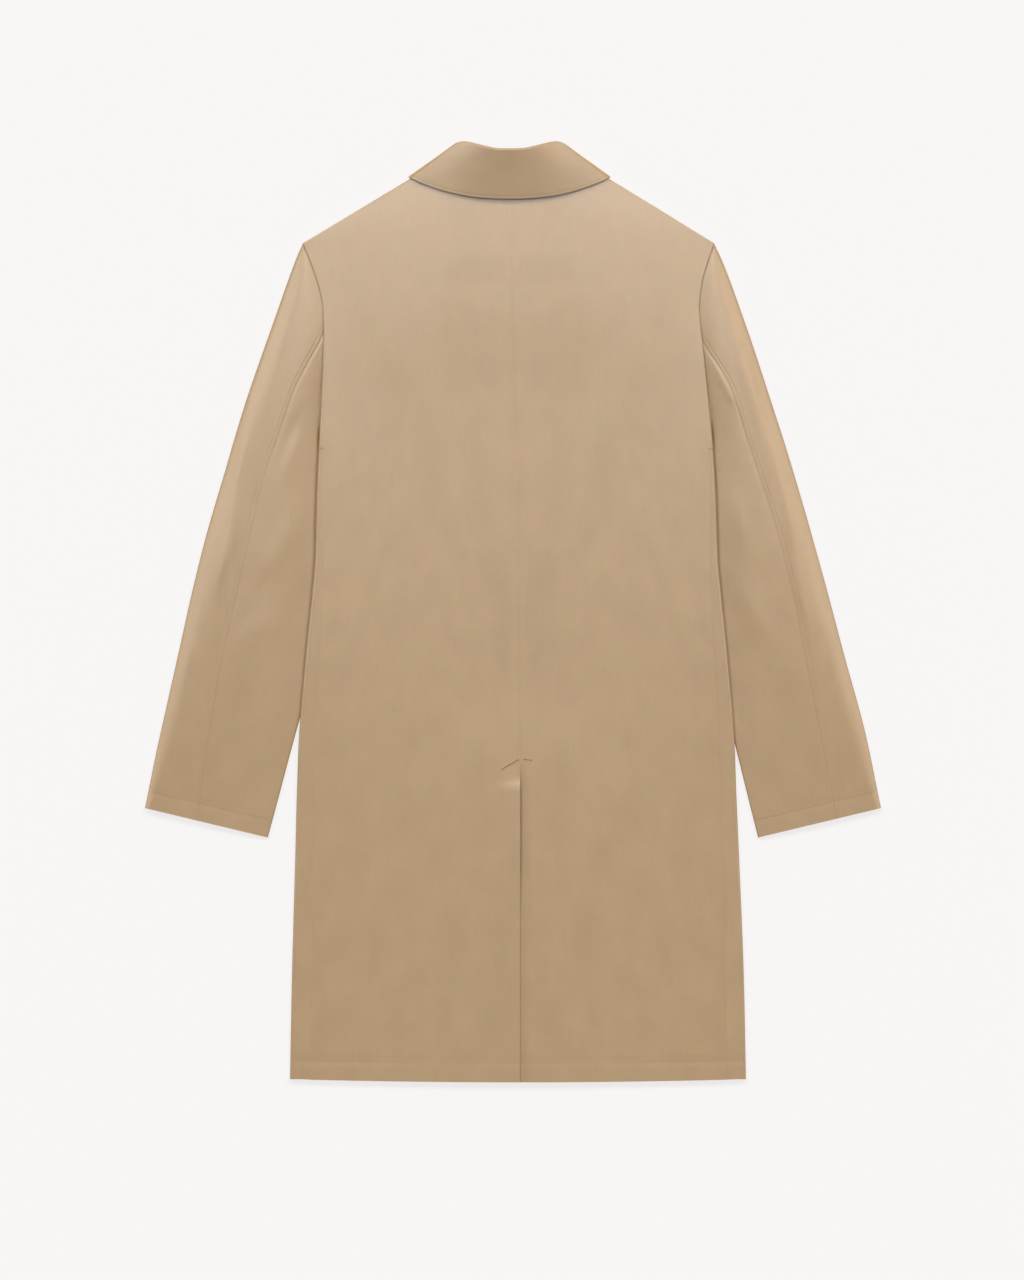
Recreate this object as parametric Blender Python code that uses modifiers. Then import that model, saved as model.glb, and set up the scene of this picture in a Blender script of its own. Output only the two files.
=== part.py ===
"""A knee-length gabardine coat, laid flat on its front with the back up.

The sizes and tables are in millimetres and the meshes in metres. +X is to the right for someone
who looks down at the back, +Y runs from the hem to the collar, and +Z is up from the surface.
Each half of the coat is worked out in its own coordinates: across, the distance from the centre
seam, along, which is Y, and a height. A side of -1 is the left half and +1 the right.
"""

import bpy
import numpy as np

MM = 0.001
LEFT, RIGHT = -1, 1
MIDDLE = (-0.6, -0.73)

# Cloth: wall thicknesses, the gap at a seam, and the height that one ply takes up in a stack
CLOTH = 1.5
COLLAR_CLOTH = 2.0
SEAM_GAP = 0.35
PLY = CLOTH + SEAM_GAP
WELD_DISTANCE = 0.00001

# Back: hem, neck, shoulder line and vent
HEM_SIDE, HEM_CENTRE = -531.5, -535.0
BACK_NECK = 482.0
NECK_POINT = (76.0, 514.0)
SHOULDER_TIP = (232.5, 419.0)
BACK_NECK_CURVE = 2.2
SHOULDER_EDGE_NECK, SHOULDER_EDGE_TIP = 5.9, 7.3
SHOULDER_ROUND = 55.0
VENT_TOP = -167.0
VENT_LAP = 45.0
VENT_EASE = 40.0
VENT_RISE, VENT_RISE_FROM, VENT_RISE_TO = 1.0, 50.0, 110.0
BACK_FLATNESS = 3.5

# Fronts: the lap at the centre front, the neck, and the top of the side seam
FRONT_LAP, FRONT_LAP_RISE = 30.0, 2.35
FRONT_LAP_EASE = (38.0, 62.0)
FRONT_NECK = 402.0
SIDE_SEAM_TOP, SIDE_SEAM_GAP = 184.4, 0.65
UNDERARM = 197.0
ARMHOLE_START = 192.0
ARMHOLE_SCOOP, ARMHOLE_SCOOP_END = 9.0, 2.2
COLLAR_LIFT = 2.7
COLLAR_LIFT_FROM, COLLAR_LIFT_TO = 240.0, 325.0
SLEEVE_TUCK_FROM, SLEEVE_TUCK_TO = 85.0, 44.0

# Body sections, from the hem to the neck: half width, lean of the middle line, how far the centre
# seam sways off it, how far the front comes round onto the back, height of the back at its centre
# and at its side, and height of the front off the surface at its side, where the sleeve lies under it
BODY_COLUMNS = ("along", "half", "lean", "sway", "wrap", "crown", "flank", "lift")
BODY = np.array([
    (-531.5, 259.2, 5.1, 2.3, 23.0, 6.7, 6.0, 0.0),
    (-419.0, 257.0, 5.0, 2.4, 22.0, 6.7, 6.0, 0.0),
    (-282.0, 252.4, 4.2, 3.2, 20.0, 6.7, 6.1, 0.0),
    (-195.0, 249.4, 3.5, 3.9, 18.8, 6.6, 6.4, 0.0),
    (-150.0, 247.7, 3.5, 3.6, 18.2, 6.5, 9.3, 4.65),
    (-48.0, 239.5, 3.5, 2.4, 15.5, 6.4, 9.7, 4.65),
    (19.0, 232.7, 3.5, 2.0, 12.5, 6.4, 9.7, 4.65),
    (59.0, 229.1, 3.4, 2.0, 10.0, 6.4, 9.7, 4.65),
    (127.0, 227.1, 3.1, 1.6, 7.0, 6.5, 9.7, 4.65),
    (190.0, 223.8, 2.7, 0.3, 5.0, 6.6, 9.6, 4.65),
    (245.0, 219.6, 1.3, -0.8, 5.0, 6.9, 9.4, 2.0),
    (297.0, 215.6, -0.2, 0.4, 5.0, 8.0, 9.2, 2.0),
    (343.0, 213.1, -2.6, 1.6, 5.0, 9.0, 8.8, 2.3),
    (376.0, 218.4, -4.2, 1.8, 5.0, 9.2, 8.3, 2.3),
    (403.0, 227.2, -5.2, 2.0, 5.0, 9.2, 7.7, 2.3),
    (419.0, 232.5, -5.7, 2.0, 5.0, 9.1, 7.3, 2.3),
    (482.0, 232.5, -5.7, 1.5, 5.0, 8.4, 7.3, 2.3),
])

# Sleeve sections: outer fold, inner fold, the back seam on each side, lean of the sleeves'
# centre line, and height of the fullness along the outer side
SLEEVE_COLUMNS = ("along", "outer", "inner", "seam_left", "seam_right", "lean", "ridge")
SLEEVE = np.array([
    (-257.0, 426.0, 278.6, 366.5, 376.0, -0.6, 6.2),
    (-224.0, 418.5, 270.0, 362.0, 371.0, -0.6, 6.6),
    (-146.0, 402.5, 249.9, 351.5, 355.5, -0.6, 9.0),
    (-44.0, 377.5, 222.0, 331.0, 337.5, -2.8, 11.6),
    (24.0, 361.0, 205.0, 314.0, 325.5, -4.2, 12.4),
    (93.0, 342.8, 195.0, 297.5, 308.5, -5.1, 12.8),
    (161.0, 322.9, 205.0, 280.5, 286.5, -5.1, 12.6),
    (197.0, 312.2, 223.1, 267.0, 275.0, -5.6, 12.4),
    (250.0, 295.4, 223.1, 248.0, 259.0, -6.3, 12.0),
    (337.0, 265.7, 223.1, 212.0, 217.0, -6.3, 10.4),
    (400.0, 242.7, 223.1, 212.0, 217.0, -6.4, 7.0),
    (419.0, 234.0, 223.1, 212.0, 217.0, -6.4, 5.4),
])
CUFF_OUTER, CUFF_INNER = (418.4, -223.4), (278.6, -257.0)
SEAM_TOP, SEAM_POINT = 337.0, 8.0
SEAM_AT_CUFF = {"seam_left": 0.398, "seam_right": 0.33}
SEAM_DRAW, OUTER_SHIFT = 12, 8
FRONT_SEAM_TOP = 262.0
FRONT_SEAM_AT_CUFF = 0.24
FRONT_SEAM_BEND = (278.0, 150.0)
LAP, LAP_END = 6.0, 0.7
LAP_OPENS, LAP_CLOSES = (228.0, 263.0), (395.0, 417.0)
SLEEVE_TUCK, TUCK_END, TUCK_SLOPE = 4.05, 240.0, (10.0, 38.0)
SEWN_DEPTH = PLY + 0.15
OUTER_FOLD, INNER_FOLD = 2.5, 2.02
FOLD_TIGHTNESS, FOLD_LIMIT = 2.2, 0.6
RIDGE_WIDTH, RIDGE_REACH, RIDGE_FALL = 34.0, 115.0, 0.40

# Collar: the roll at the top, the edge of the fall, and the points on the underside
ROLL_CENTRE, ROLL_RISE = 526.0, 8.5
ROLL_END = (53.5, 534.5)
ROLL_RADIUS = 2.5
FALL_CENTRE, FALL_RISE, FALL_CURVE = 468.5, 25.5, 2.35
FALL_CORNER = (115.0, 494.0)
FALL_FRONT_BEND = (110.0, 418.0)
COLLAR_POINT = (52.0, 353.0)
ROLL_FRONT = (3.0, 428.0)
ROLL_FRONT_BEND = (40.0, 478.0)
FALL_EDGE_CENTRE, FALL_EDGE_SIDE = 12.8, 9.5
FALL_ROLL_CENTRE, FALL_ROLL_SIDE = 22.2, 14.5
FALL_BOW = 1.0
FALL_FOLD = 5.0
STAND_FOLD_LOW, STAND_FOLD_HIGH = (73.6, 515.2), (54.4, 530.2)
STAND_FOLD = 3.0
STAND_EDGE_CENTRE, STAND_EDGE_SIDE = 8.5, 7.6
STAND_FRONT = 2.4
EDGE_DRAW, ROLL_DRAW = 8, 4
NECK_GAP, ROLL_GAP = 1.2, 1.5

# Grid sizes
NECK_COLUMNS, SHOULDER_COLUMNS, STRIP_COLUMNS = 7, 8, 3
VENT_ROWS, SIDE_ROWS, ARMHOLE_ROWS = 7, 11, 9
FOLD_STEPS, FOLD_COLUMNS = 6, 5
SLEEVE_ROWS, CAP_ROWS = 12, 5
UPPER_TOP_COLUMNS, UPPER_BOTTOM_COLUMNS = 3, 4
UNDER_TOP_COLUMNS, UNDER_BOTTOM_COLUMNS = 5, 3
COLLAR_BACK_STATIONS, COLLAR_FRONT_STATIONS = 9, 8
FALL_ROWS, ROLL_STEPS, STAND_ROWS = 5, 5, 4

GABARDINE = (0.50, 0.34, 0.20, 1.0)
GABARDINE_ROUGHNESS = 0.82


def table(rows, columns, column, along):
    """A monotone cubic through one column of a table, read at heights along the coat."""
    knots = rows[:, 0]
    values = rows[:, columns.index(column)]
    steps = np.diff(knots)
    slopes = np.diff(values) / steps
    product = slopes[:-1] * slopes[1:]
    total = slopes[:-1] + slopes[1:]
    middle = np.where(product > 0, 2 * product / np.where(total == 0, 1, total), 0)
    tangents = np.concatenate([slopes[:1], middle, slopes[-1:]])
    at = np.clip(along, knots[0], knots[-1])
    i = np.clip(np.searchsorted(knots, at) - 1, 0, len(steps) - 1)
    t = (at - knots[i]) / steps[i]
    start = values[i] * (1 + 2 * t) * (1 - t) ** 2 + values[i + 1] * t * t * (3 - 2 * t)
    return start + steps[i] * (tangents[i] * t * (1 - t) ** 2 - tangents[i + 1] * t * t * (1 - t))


def body(column, along):
    return table(BODY, BODY_COLUMNS, column, along)


def sleeve(column, along):
    return table(SLEEVE, SLEEVE_COLUMNS, column, along)


def mix(first, last, amount):
    return first + (last - first) * amount


def ease(low, high, value):
    """Rises smoothly from 0 at low to 1 at high."""
    t = np.clip((value - low) / (high - low), 0, 1)
    return t * t * (3 - 2 * t)


def rounded(t):
    """A quarter round: steep at 0, level from 1 on."""
    return np.sqrt(1 - (1 - np.clip(t, 0, 1)) ** 2)


def bend(first, control, last, t):
    """A quadratic curve between two points, drawn towards a control point."""
    t = np.asarray(t)[..., None]
    return (1 - t) ** 2 * np.array(first) + 2 * t * (1 - t) * np.array(control) + t * t * np.array(last)


def runs(*stops):
    """Values from stretches of (first, last, count), each starting where the one before it ends."""
    parts = [np.linspace(first, last, count) for first, last, count in stops]
    return np.concatenate(parts[:1] + [part[1:] for part in parts[1:]])


def place(side, across, along, height):
    """Grid points in the coat's frame, with the middle of its outline at the origin.

    The sway is full at the centre seam and dies away, as a parabola, at the sides.
    """
    across, along, height = np.broadcast_arrays(across, along, height)
    sway = body("sway", along) * np.clip(1 - (across / body("half", along)) ** 2, 0, 1)
    x = side * across + body("lean", along) + sway
    return np.stack([x - MIDDLE[0], along - MIDDLE[1], height], axis=-1)


def gabardine(name):
    material = bpy.data.materials.new(name)
    material.use_nodes = True
    shader = material.node_tree.nodes["Principled BSDF"]
    shader.inputs["Base Color"].default_value = GABARDINE
    shader.inputs["Roughness"].default_value = GABARDINE_ROUGHNESS
    shader.inputs["Metallic"].default_value = 0.0
    return material


def panel(name, points, collection, thickness=CLOTH, keep=None, flip=False, weld=False):
    """A cloth wall: a grid of outer points, thickened inwards. keep masks the grid's cells."""
    rows, columns = points.shape[:2]
    index = np.arange(rows * columns).reshape(rows, columns)
    corners = [index[:-1, :-1], index[:-1, 1:], index[1:, 1:], index[1:, :-1]]
    quads = np.stack(corners[::-1] if flip else corners, axis=-1)
    quads = quads[np.ones(quads.shape[:2], bool) if keep is None else keep]
    used, faces = np.unique(quads, return_inverse=True)
    vertices = points.reshape(-1, 3)[used] * MM
    mesh = bpy.data.meshes.new(name)
    mesh.from_pydata(vertices.tolist(), [], faces.reshape(-1, 4).tolist())
    mesh.shade_smooth()
    mesh.materials.append(gabardine(name))
    piece = bpy.data.objects.new(name, mesh)
    collection.objects.link(piece)
    if weld:
        piece.modifiers.new("closed fold", "WELD").merge_threshold = WELD_DISTANCE
    wall = piece.modifiers.new("cloth wall", "SOLIDIFY")
    wall.thickness = thickness * MM
    wall.offset = -1.0
    wall.use_even_offset = True
    wall.use_quality_normals = True
    return piece


def shoulder_line(across):
    """Height along the coat of the shoulder seam, between the neck point and the tip."""
    fraction = (across - NECK_POINT[0]) / (SHOULDER_TIP[0] - NECK_POINT[0])
    return mix(NECK_POINT[1], SHOULDER_TIP[1], fraction)


def back_top(across):
    """The back's upper edge: the neck curve, then the shoulder."""
    part = np.clip(across / NECK_POINT[0], 0, 1)
    neck = mix(BACK_NECK, NECK_POINT[1], part ** BACK_NECK_CURVE)
    return np.where(across > NECK_POINT[0], shoulder_line(across), neck)


def front_top(across):
    """The front's upper edge: the neck curve, then the shoulder."""
    part = np.clip(across / NECK_POINT[0], 0, 1)
    neck = mix(FRONT_NECK, NECK_POINT[1], part ** 2)
    return np.where(across > NECK_POINT[0], shoulder_line(across), neck)


def hem_line(across):
    return mix(HEM_CENTRE, HEM_SIDE, np.clip(np.abs(across) / BODY[0, 1], 0, 1) ** 2)


def back_height(across, along):
    """Outer height of the back: level from crown to flank, falling off to the shoulder seams.

    The centre rises a little below the vent's top, where the vent's plies lie on the front lap.
    """
    half = body("half", along)
    level = mix(body("crown", along), body("flank", along), np.clip(across / half, 0, 1) ** BACK_FLATNESS)
    vented = 1 - ease(VENT_TOP, VENT_TOP + 2 * VENT_EASE, along)
    level = level + VENT_RISE * vented * (1 - ease(VENT_RISE_FROM, VENT_RISE_TO, across))
    reach = np.subtract(SHOULDER_TIP, NECK_POINT)
    normal = np.array([-reach[1], reach[0]]) / np.hypot(*reach)
    inside = -((across - NECK_POINT[0]) * normal[0] + (along - NECK_POINT[1]) * normal[1])
    fraction = np.clip((across - NECK_POINT[0]) / reach[0], 0, 1)
    seam = mix(SHOULDER_EDGE_NECK, SHOULDER_EDGE_TIP, fraction)
    return seam + (level - seam) * rounded(inside / SHOULDER_ROUND)


def front_height(across, along):
    """Height of the front's underside: flat, but raised over the sleeves and the collar points."""
    half = body("half", along)
    middle = COLLAR_LIFT * ease(COLLAR_LIFT_FROM, COLLAR_LIFT_TO, along)
    return mix(middle, body("lift", along), ease(half - SLEEVE_TUCK_FROM, half - SLEEVE_TUCK_TO, across))


def armhole_part(along):
    return np.clip((along - UNDERARM) / (SHOULDER_TIP[1] - UNDERARM), 0, 1)


def front_scoop(along):
    """How much deeper the front armhole is cut than the back one."""
    return mix(ARMHOLE_SCOOP_END, ARMHOLE_SCOOP, np.sin(np.pi * armhole_part(along)) ** 2)


def body_rows():
    """Row positions from hem to shoulder, with stops at the vent, side seam and armhole."""
    length = SHOULDER_TIP[1] - HEM_SIDE
    vent = (VENT_TOP - HEM_CENTRE) / (BACK_NECK - HEM_CENTRE)
    seam = (SIDE_SEAM_TOP - HEM_SIDE) / length
    armhole = (ARMHOLE_START - HEM_SIDE) / length
    stops = (0, vent, VENT_ROWS), (vent, seam, SIDE_ROWS), (seam, armhole, 2), (armhole, 1, ARMHOLE_ROWS)
    return runs(*stops)[:, None], VENT_ROWS - 1, VENT_ROWS + SIDE_ROWS - 2


def back(side, name, collection):
    """One half of the back. The right one carries the vent's underlap, below the left one."""
    rows, vent_row, seam_row = body_rows()
    neck_share = NECK_POINT[0] / SHOULDER_TIP[0]
    columns = runs((0, neck_share, NECK_COLUMNS), (neck_share, 1, SHOULDER_COLUMNS))
    edge_along = mix(HEM_SIDE, SHOULDER_TIP[1], rows)
    tuck = body("wrap", edge_along) + SIDE_SEAM_GAP
    edge = body("half", edge_along) - np.where(np.arange(len(rows))[:, None] <= seam_row, tuck, 0)
    across = columns * edge
    along = mix(hem_line(across[:1]), back_top(columns * SHOULDER_TIP[0]), rows)
    height = back_height(across, along)
    keep = None
    if side == RIGHT:
        vented = 1 - ease(VENT_TOP, VENT_TOP + VENT_EASE, along)
        height = height - PLY * vented * (1 - ease(0, VENT_EASE, across))
        lap = np.array([-VENT_LAP, -VENT_LAP / 2])
        lap_along = along[:, :1] + np.zeros_like(lap)
        lap_height = height[:, :1] + np.zeros_like(lap)
        across = np.hstack([np.broadcast_to(lap, lap_along.shape), across])
        along = np.hstack([lap_along, along])
        height = np.hstack([lap_height, height])
        keep = np.ones((len(rows) - 1, across.shape[1] - 1), bool)
        keep[vent_row:, :len(lap)] = False
    points = place(side, across + SEAM_GAP / 2, along, height)
    panel(name, points, collection, keep=keep, flip=side == LEFT)


def front(side, name, collection):
    """One front: its flat underside, the fold at the side, and the strip that comes onto the back."""
    rows, _, seam_row = body_rows()
    neck = (0, NECK_POINT[0], COLLAR_FRONT_STATIONS)
    top = runs((-FRONT_LAP, 0, 2), neck, (NECK_POINT[0], SHOULDER_TIP[0], SHOULDER_COLUMNS))
    columns = (top + FRONT_LAP) / (SHOULDER_TIP[0] + FRONT_LAP)
    edge_along = mix(HEM_SIDE, SHOULDER_TIP[1], rows)
    half = body("half", edge_along)
    wrapped = np.arange(len(rows))[:, None] <= seam_row
    fold = (back_height(half, edge_along) - front_height(half, edge_along)) / 2
    edge = half - np.where(wrapped, fold, front_scoop(edge_along))
    across = mix(-FRONT_LAP, edge, columns)
    along = mix(hem_line(across[:1]), front_top(top), rows)
    height = front_height(across, along)
    if side == RIGHT:
        height = height + FRONT_LAP_RISE * (1 - ease(*FRONT_LAP_EASE, across))
    turn = np.linspace(-np.pi / 2, np.pi / 2, FOLD_STEPS + 1)[1:]
    fold_across = half - fold * (1 - np.cos(turn))
    fold_height = front_height(half, edge_along) + fold * (1 + np.sin(turn))
    strip = np.linspace(0, 1, STRIP_COLUMNS + 1)[1:]
    strip_across = mix(half - fold, half - body("wrap", edge_along), strip)
    strip_height = back_height(strip_across, edge_along)
    across = np.hstack([across, fold_across, strip_across])
    along = np.hstack([along, np.repeat(edge_along, len(turn) + len(strip), axis=1)])
    height = np.hstack([height, fold_height, strip_height])
    keep = np.ones((len(rows) - 1, across.shape[1] - 1), bool)
    keep[seam_row:, len(columns) - 1:] = False
    panel(name, place(side, across, along, height), collection, keep=keep, flip=side == RIGHT)


class SleeveCurves:
    """The lines that bound one sleeve's panels, each from the cuff (0) to the armhole (1)."""

    def __init__(self, side):
        self.side = side
        self.seam_column = "seam_left" if side == LEFT else "seam_right"
        self.seam_at_cuff = SEAM_AT_CUFF[self.seam_column]

    def shift(self, along):
        """From the sleeves' own centre line to the body's."""
        return self.side * (sleeve("lean", along) - body("lean", along))

    def cuff(self, part):
        """A point of the cuff's edge, from the outer fold (0) to the inner one (1)."""
        point = mix(np.array(CUFF_OUTER), np.array(CUFF_INNER), np.asarray(part)[..., None])
        return point + np.stack([self.shift(point[..., 1]), 0 * point[..., 1]], axis=-1)

    def outer_across(self, along):
        part = (along - CUFF_OUTER[1]) / (SHOULDER_TIP[1] - CUFF_OUTER[1])
        return sleeve("outer", along) + self.shift(along) * (1 - np.clip(part, 0, 1) ** OUTER_SHIFT)

    def inner_across(self, along):
        part = (along - CUFF_INNER[1]) / (UNDERARM - CUFF_INNER[1])
        return sleeve("inner", along) + self.shift(along) * (1 - np.clip(part, 0, 1))

    def outer(self, part):
        along = mix(CUFF_OUTER[1], SHOULDER_TIP[1], part)
        return np.stack([self.outer_across(along), along], axis=-1)

    def seam_across(self, along):
        return sleeve(self.seam_column, along) + self.shift(along)

    def back_seam(self, part):
        """The table's line, with its ends drawn onto the cuff and the armhole."""
        start = self.cuff(self.seam_at_cuff)
        end = self.back_edge(SEAM_TOP)
        along = mix(start[1], end[1], part)
        across = self.seam_across(along)
        across = across + (start[0] - self.seam_across(start[1])) * (1 - part) ** SEAM_DRAW
        across = across + (end[0] - self.seam_across(end[1])) * part ** SEAM_DRAW
        return np.stack([across, along], axis=-1)

    def front_seam(self, part):
        start = self.cuff(1 - FRONT_SEAM_AT_CUFF)
        end = self.front_edge(FRONT_SEAM_TOP)
        return bend(start, FRONT_SEAM_BEND, end, part)

    def back_edge(self, along):
        """The edge of the upper ply, a little way in under the back's armhole."""
        along = np.asarray(along, float)
        sewn = ease(*LAP_OPENS, along) * (1 - ease(*LAP_CLOSES, along))
        across = body("half", along) - mix(LAP_END, LAP, sewn) + self.tip_shift(along)
        return np.stack([across, along], axis=-1)

    def front_edge(self, along):
        """The edge of the lower ply, a little way in under the front's armhole."""
        along = np.asarray(along, float)
        sewn = ease(UNDERARM, LAP_OPENS[1], along) * (1 - ease(*LAP_CLOSES, along))
        tuck = mix(LAP_END, LAP + front_scoop(along), sewn)
        return np.stack([body("half", along) - tuck + self.tip_shift(along), along], axis=-1)

    def tip_shift(self, along):
        """Out to the outer fold at the shoulder's tip."""
        return (SLEEVE[-1, 1] - SHOULDER_TIP[0] + LAP_END) * ease(*LAP_CLOSES, along)

    def under_back(self, along):
        """The under sleeve's free side on top: the inner fold, then the armhole's back edge."""
        across = np.where(along > UNDERARM, self.back_edge(along)[..., 0], self.inner_across(along))
        return np.stack([across, along], axis=-1)

    def under_front(self, along):
        """The same side underneath: the inner fold, then the armhole's front edge."""
        across = np.where(along > UNDERARM, self.front_edge(along)[..., 0], self.inner_across(along))
        return np.stack([across, along], axis=-1)

    def top_height(self, points):
        """Height of the upper ply: full along the outer side, flat where it goes under the body."""
        across, along = points[..., 0], points[..., 1]
        half = body("half", along)
        from_fold = self.outer_across(along) - across
        free = sleeve("ridge", along) * (1 - RIDGE_FALL * ease(RIDGE_WIDTH, RIDGE_REACH, from_fold))
        sewn = back_height(half, along) - SEWN_DEPTH
        tucked = mix(SLEEVE_TUCK, sewn, ease(UNDERARM, TUCK_END, along))
        edge = np.where(along > UNDERARM, half, np.maximum(half, self.inner_across(along)))
        return mix(tucked, np.maximum(free, tucked), ease(*TUCK_SLOPE, across - edge))


def patch(first, last, cuff, cap, across, rows):
    """A surface between four lines: two sides from cuff to armhole, the cuff and the cap.

    Each point is the blend of the two sides plus the blend of the two ends, less the blend of
    the four corners.
    """
    p, v = across[..., None], rows[..., None]
    corner = [line(np.float64(end)) for line in (first, last) for end in (0.0, 1.0)]
    sides = mix(first(rows), last(rows), p)
    ends = mix(cuff(across), cap(across), v)
    corners = mix(mix(corner[0], corner[1], v), mix(corner[2], corner[3], v), p)
    return sides + ends - corners


def fold_shares(first, last, fold_size, count):
    """Shares across a panel, with a round at the fold and even steps to the seam, and its width."""
    width = np.linalg.norm(last - first, axis=-1)
    share = np.clip(fold_size / width, 0, FOLD_LIMIT)
    round_steps = 1 - np.cos(np.linspace(0, np.pi / 2, FOLD_COLUMNS))
    even = np.linspace(0, 1, count + 1)[1:]
    return np.hstack([share * round_steps, mix(share, 1, even)]), width


def close_seam(grid):
    """Draws a panel's last column back from the seam by half the gap, square to the seam."""
    seam = np.gradient(grid[:, -1], axis=0)
    seam = seam / np.linalg.norm(seam, axis=-1, keepdims=True)
    step = grid[:, -1] - grid[:, -2]
    step = step - seam * np.sum(step * seam, axis=-1, keepdims=True)
    grid[:, -1] -= step / np.linalg.norm(step, axis=-1, keepdims=True) * (SEAM_GAP / 2)
    return grid


def sleeve_rows():
    """Rows from cuff to armhole, with a stop at the underarm, and that stop's place."""
    underarm = (UNDERARM - CUFF_INNER[1]) / (SEAM_TOP - SEAM_POINT - CUFF_INNER[1])
    return runs((0, underarm, SLEEVE_ROWS), (underarm, 1, CAP_ROWS))[:, None], underarm


def upper_sleeve(side, name, collection):
    """The sleeve's larger panel: from the back seam round the outer fold to the front seam."""
    curves = SleeveCurves(side)
    rows, _ = sleeve_rows()
    outer = curves.outer(rows)
    ridge = sleeve("ridge", outer[..., 1])
    middle = np.minimum(OUTER_FOLD, ridge / 2)
    size = np.clip((ridge - middle) ** 2 / FOLD_TIGHTNESS, OUTER_FOLD, RIDGE_WIDTH)

    shares, width = fold_shares(outer, curves.back_seam(rows), size, UPPER_TOP_COLUMNS)
    points = patch(curves.outer, curves.back_seam,
                   lambda part: curves.cuff(part * curves.seam_at_cuff),
                   lambda part: curves.back_edge(mix(SHOULDER_TIP[1], SEAM_TOP, part)),
                   shares, rows)
    height = mix(middle, curves.top_height(points), rounded(shares * width / size))
    top = close_seam(np.dstack([points, height]))

    shares, width = fold_shares(outer, curves.front_seam(rows), middle, UPPER_BOTTOM_COLUMNS)
    points = patch(curves.outer, curves.front_seam,
                   lambda part: curves.cuff(part * (1 - FRONT_SEAM_AT_CUFF)),
                   lambda part: curves.front_edge(mix(SHOULDER_TIP[1], FRONT_SEAM_TOP, part)),
                   shares, rows)
    under = close_seam(np.dstack([points, middle * (1 - rounded(shares * width / middle))]))

    grid = np.concatenate([under[:, ::-1], top[:, 1:]], axis=1)
    panel(name, place(side, *np.moveaxis(grid, -1, 0)), collection, flip=side == RIGHT)


def under_sleeve(side, name, collection):
    """The narrower panel: from the back seam round the inner fold to the front seam.

    Above the underarm its two plies part, and each ends at its own side of the armhole.
    """
    curves = SleeveCurves(side)
    rows, underarm = sleeve_rows()
    above = np.clip((rows - underarm) / (1 - underarm), 0, 1)
    along = mix(CUFF_INNER[1], SEAM_TOP - SEAM_POINT, rows)
    front_along = np.where(rows > underarm, mix(UNDERARM, FRONT_SEAM_TOP - SEAM_POINT, above), along)
    fold = np.full_like(rows, INNER_FOLD)
    folded = (rows <= underarm).astype(float)

    first, last = curves.under_back(along), curves.back_seam(rows)
    shares, width = fold_shares(first, last, fold, UNDER_TOP_COLUMNS)
    points = mix(first, last, shares[..., None])
    full = curves.top_height(points)
    turn = mix(1.0, rounded(shares * width / fold), folded)
    top = close_seam(np.dstack([points, mix(fold, full, turn)]))

    first, last = curves.under_front(front_along), curves.front_seam(rows)
    shares, width = fold_shares(first, last, fold, UNDER_BOTTOM_COLUMNS)
    points = mix(first, last, shares[..., None])
    turn = mix(1.0, rounded(shares * width / fold), folded)
    under = close_seam(np.dstack([points, fold * (1 - turn)]))

    grid = np.concatenate([under[:, ::-1], top], axis=1)
    keep = np.ones((grid.shape[0] - 1, grid.shape[1] - 1), bool)
    keep[:, under.shape[1] - 1] = False
    points = place(side, *np.moveaxis(grid, -1, 0))
    panel(name, points, collection, keep=keep, flip=side == LEFT, weld=True)


def across_line(low, high):
    """The unit vector square to a line in plan, pointing away from the coat."""
    line = np.subtract(high, low)
    outward = np.array([line[1], -line[0]]) / np.hypot(*line)
    return outward * np.sign(outward[1])


def fold_turn(low, high, size, bottom, top):
    """The turn of a side fold along a line in plan, from the top ply round to the bottom one.

    Gives the points of its two ends, station by station, and the outward normals. Each end of
    the line has its own heights.
    """
    outward = across_line(low, high)
    angle = np.linspace(np.pi / 2, -np.pi / 2, FOLD_STEPS + 1)[1:-1, None]
    plan = np.stack([low, high])[None] - size * outward * (1 - np.cos(angle))[..., None]
    height = (top + bottom) / 2 + (top - bottom) / 2 * np.sin(angle)
    normal = np.hstack([np.cos(angle) * outward, np.sin(angle)])
    return np.dstack([plan, height]), normal


def towards(line, share, power, end):
    """Draws the last stations of a line in plan onto the point where the side fold starts."""
    return line + share[:, None] ** power * (end - line[-1])


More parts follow.
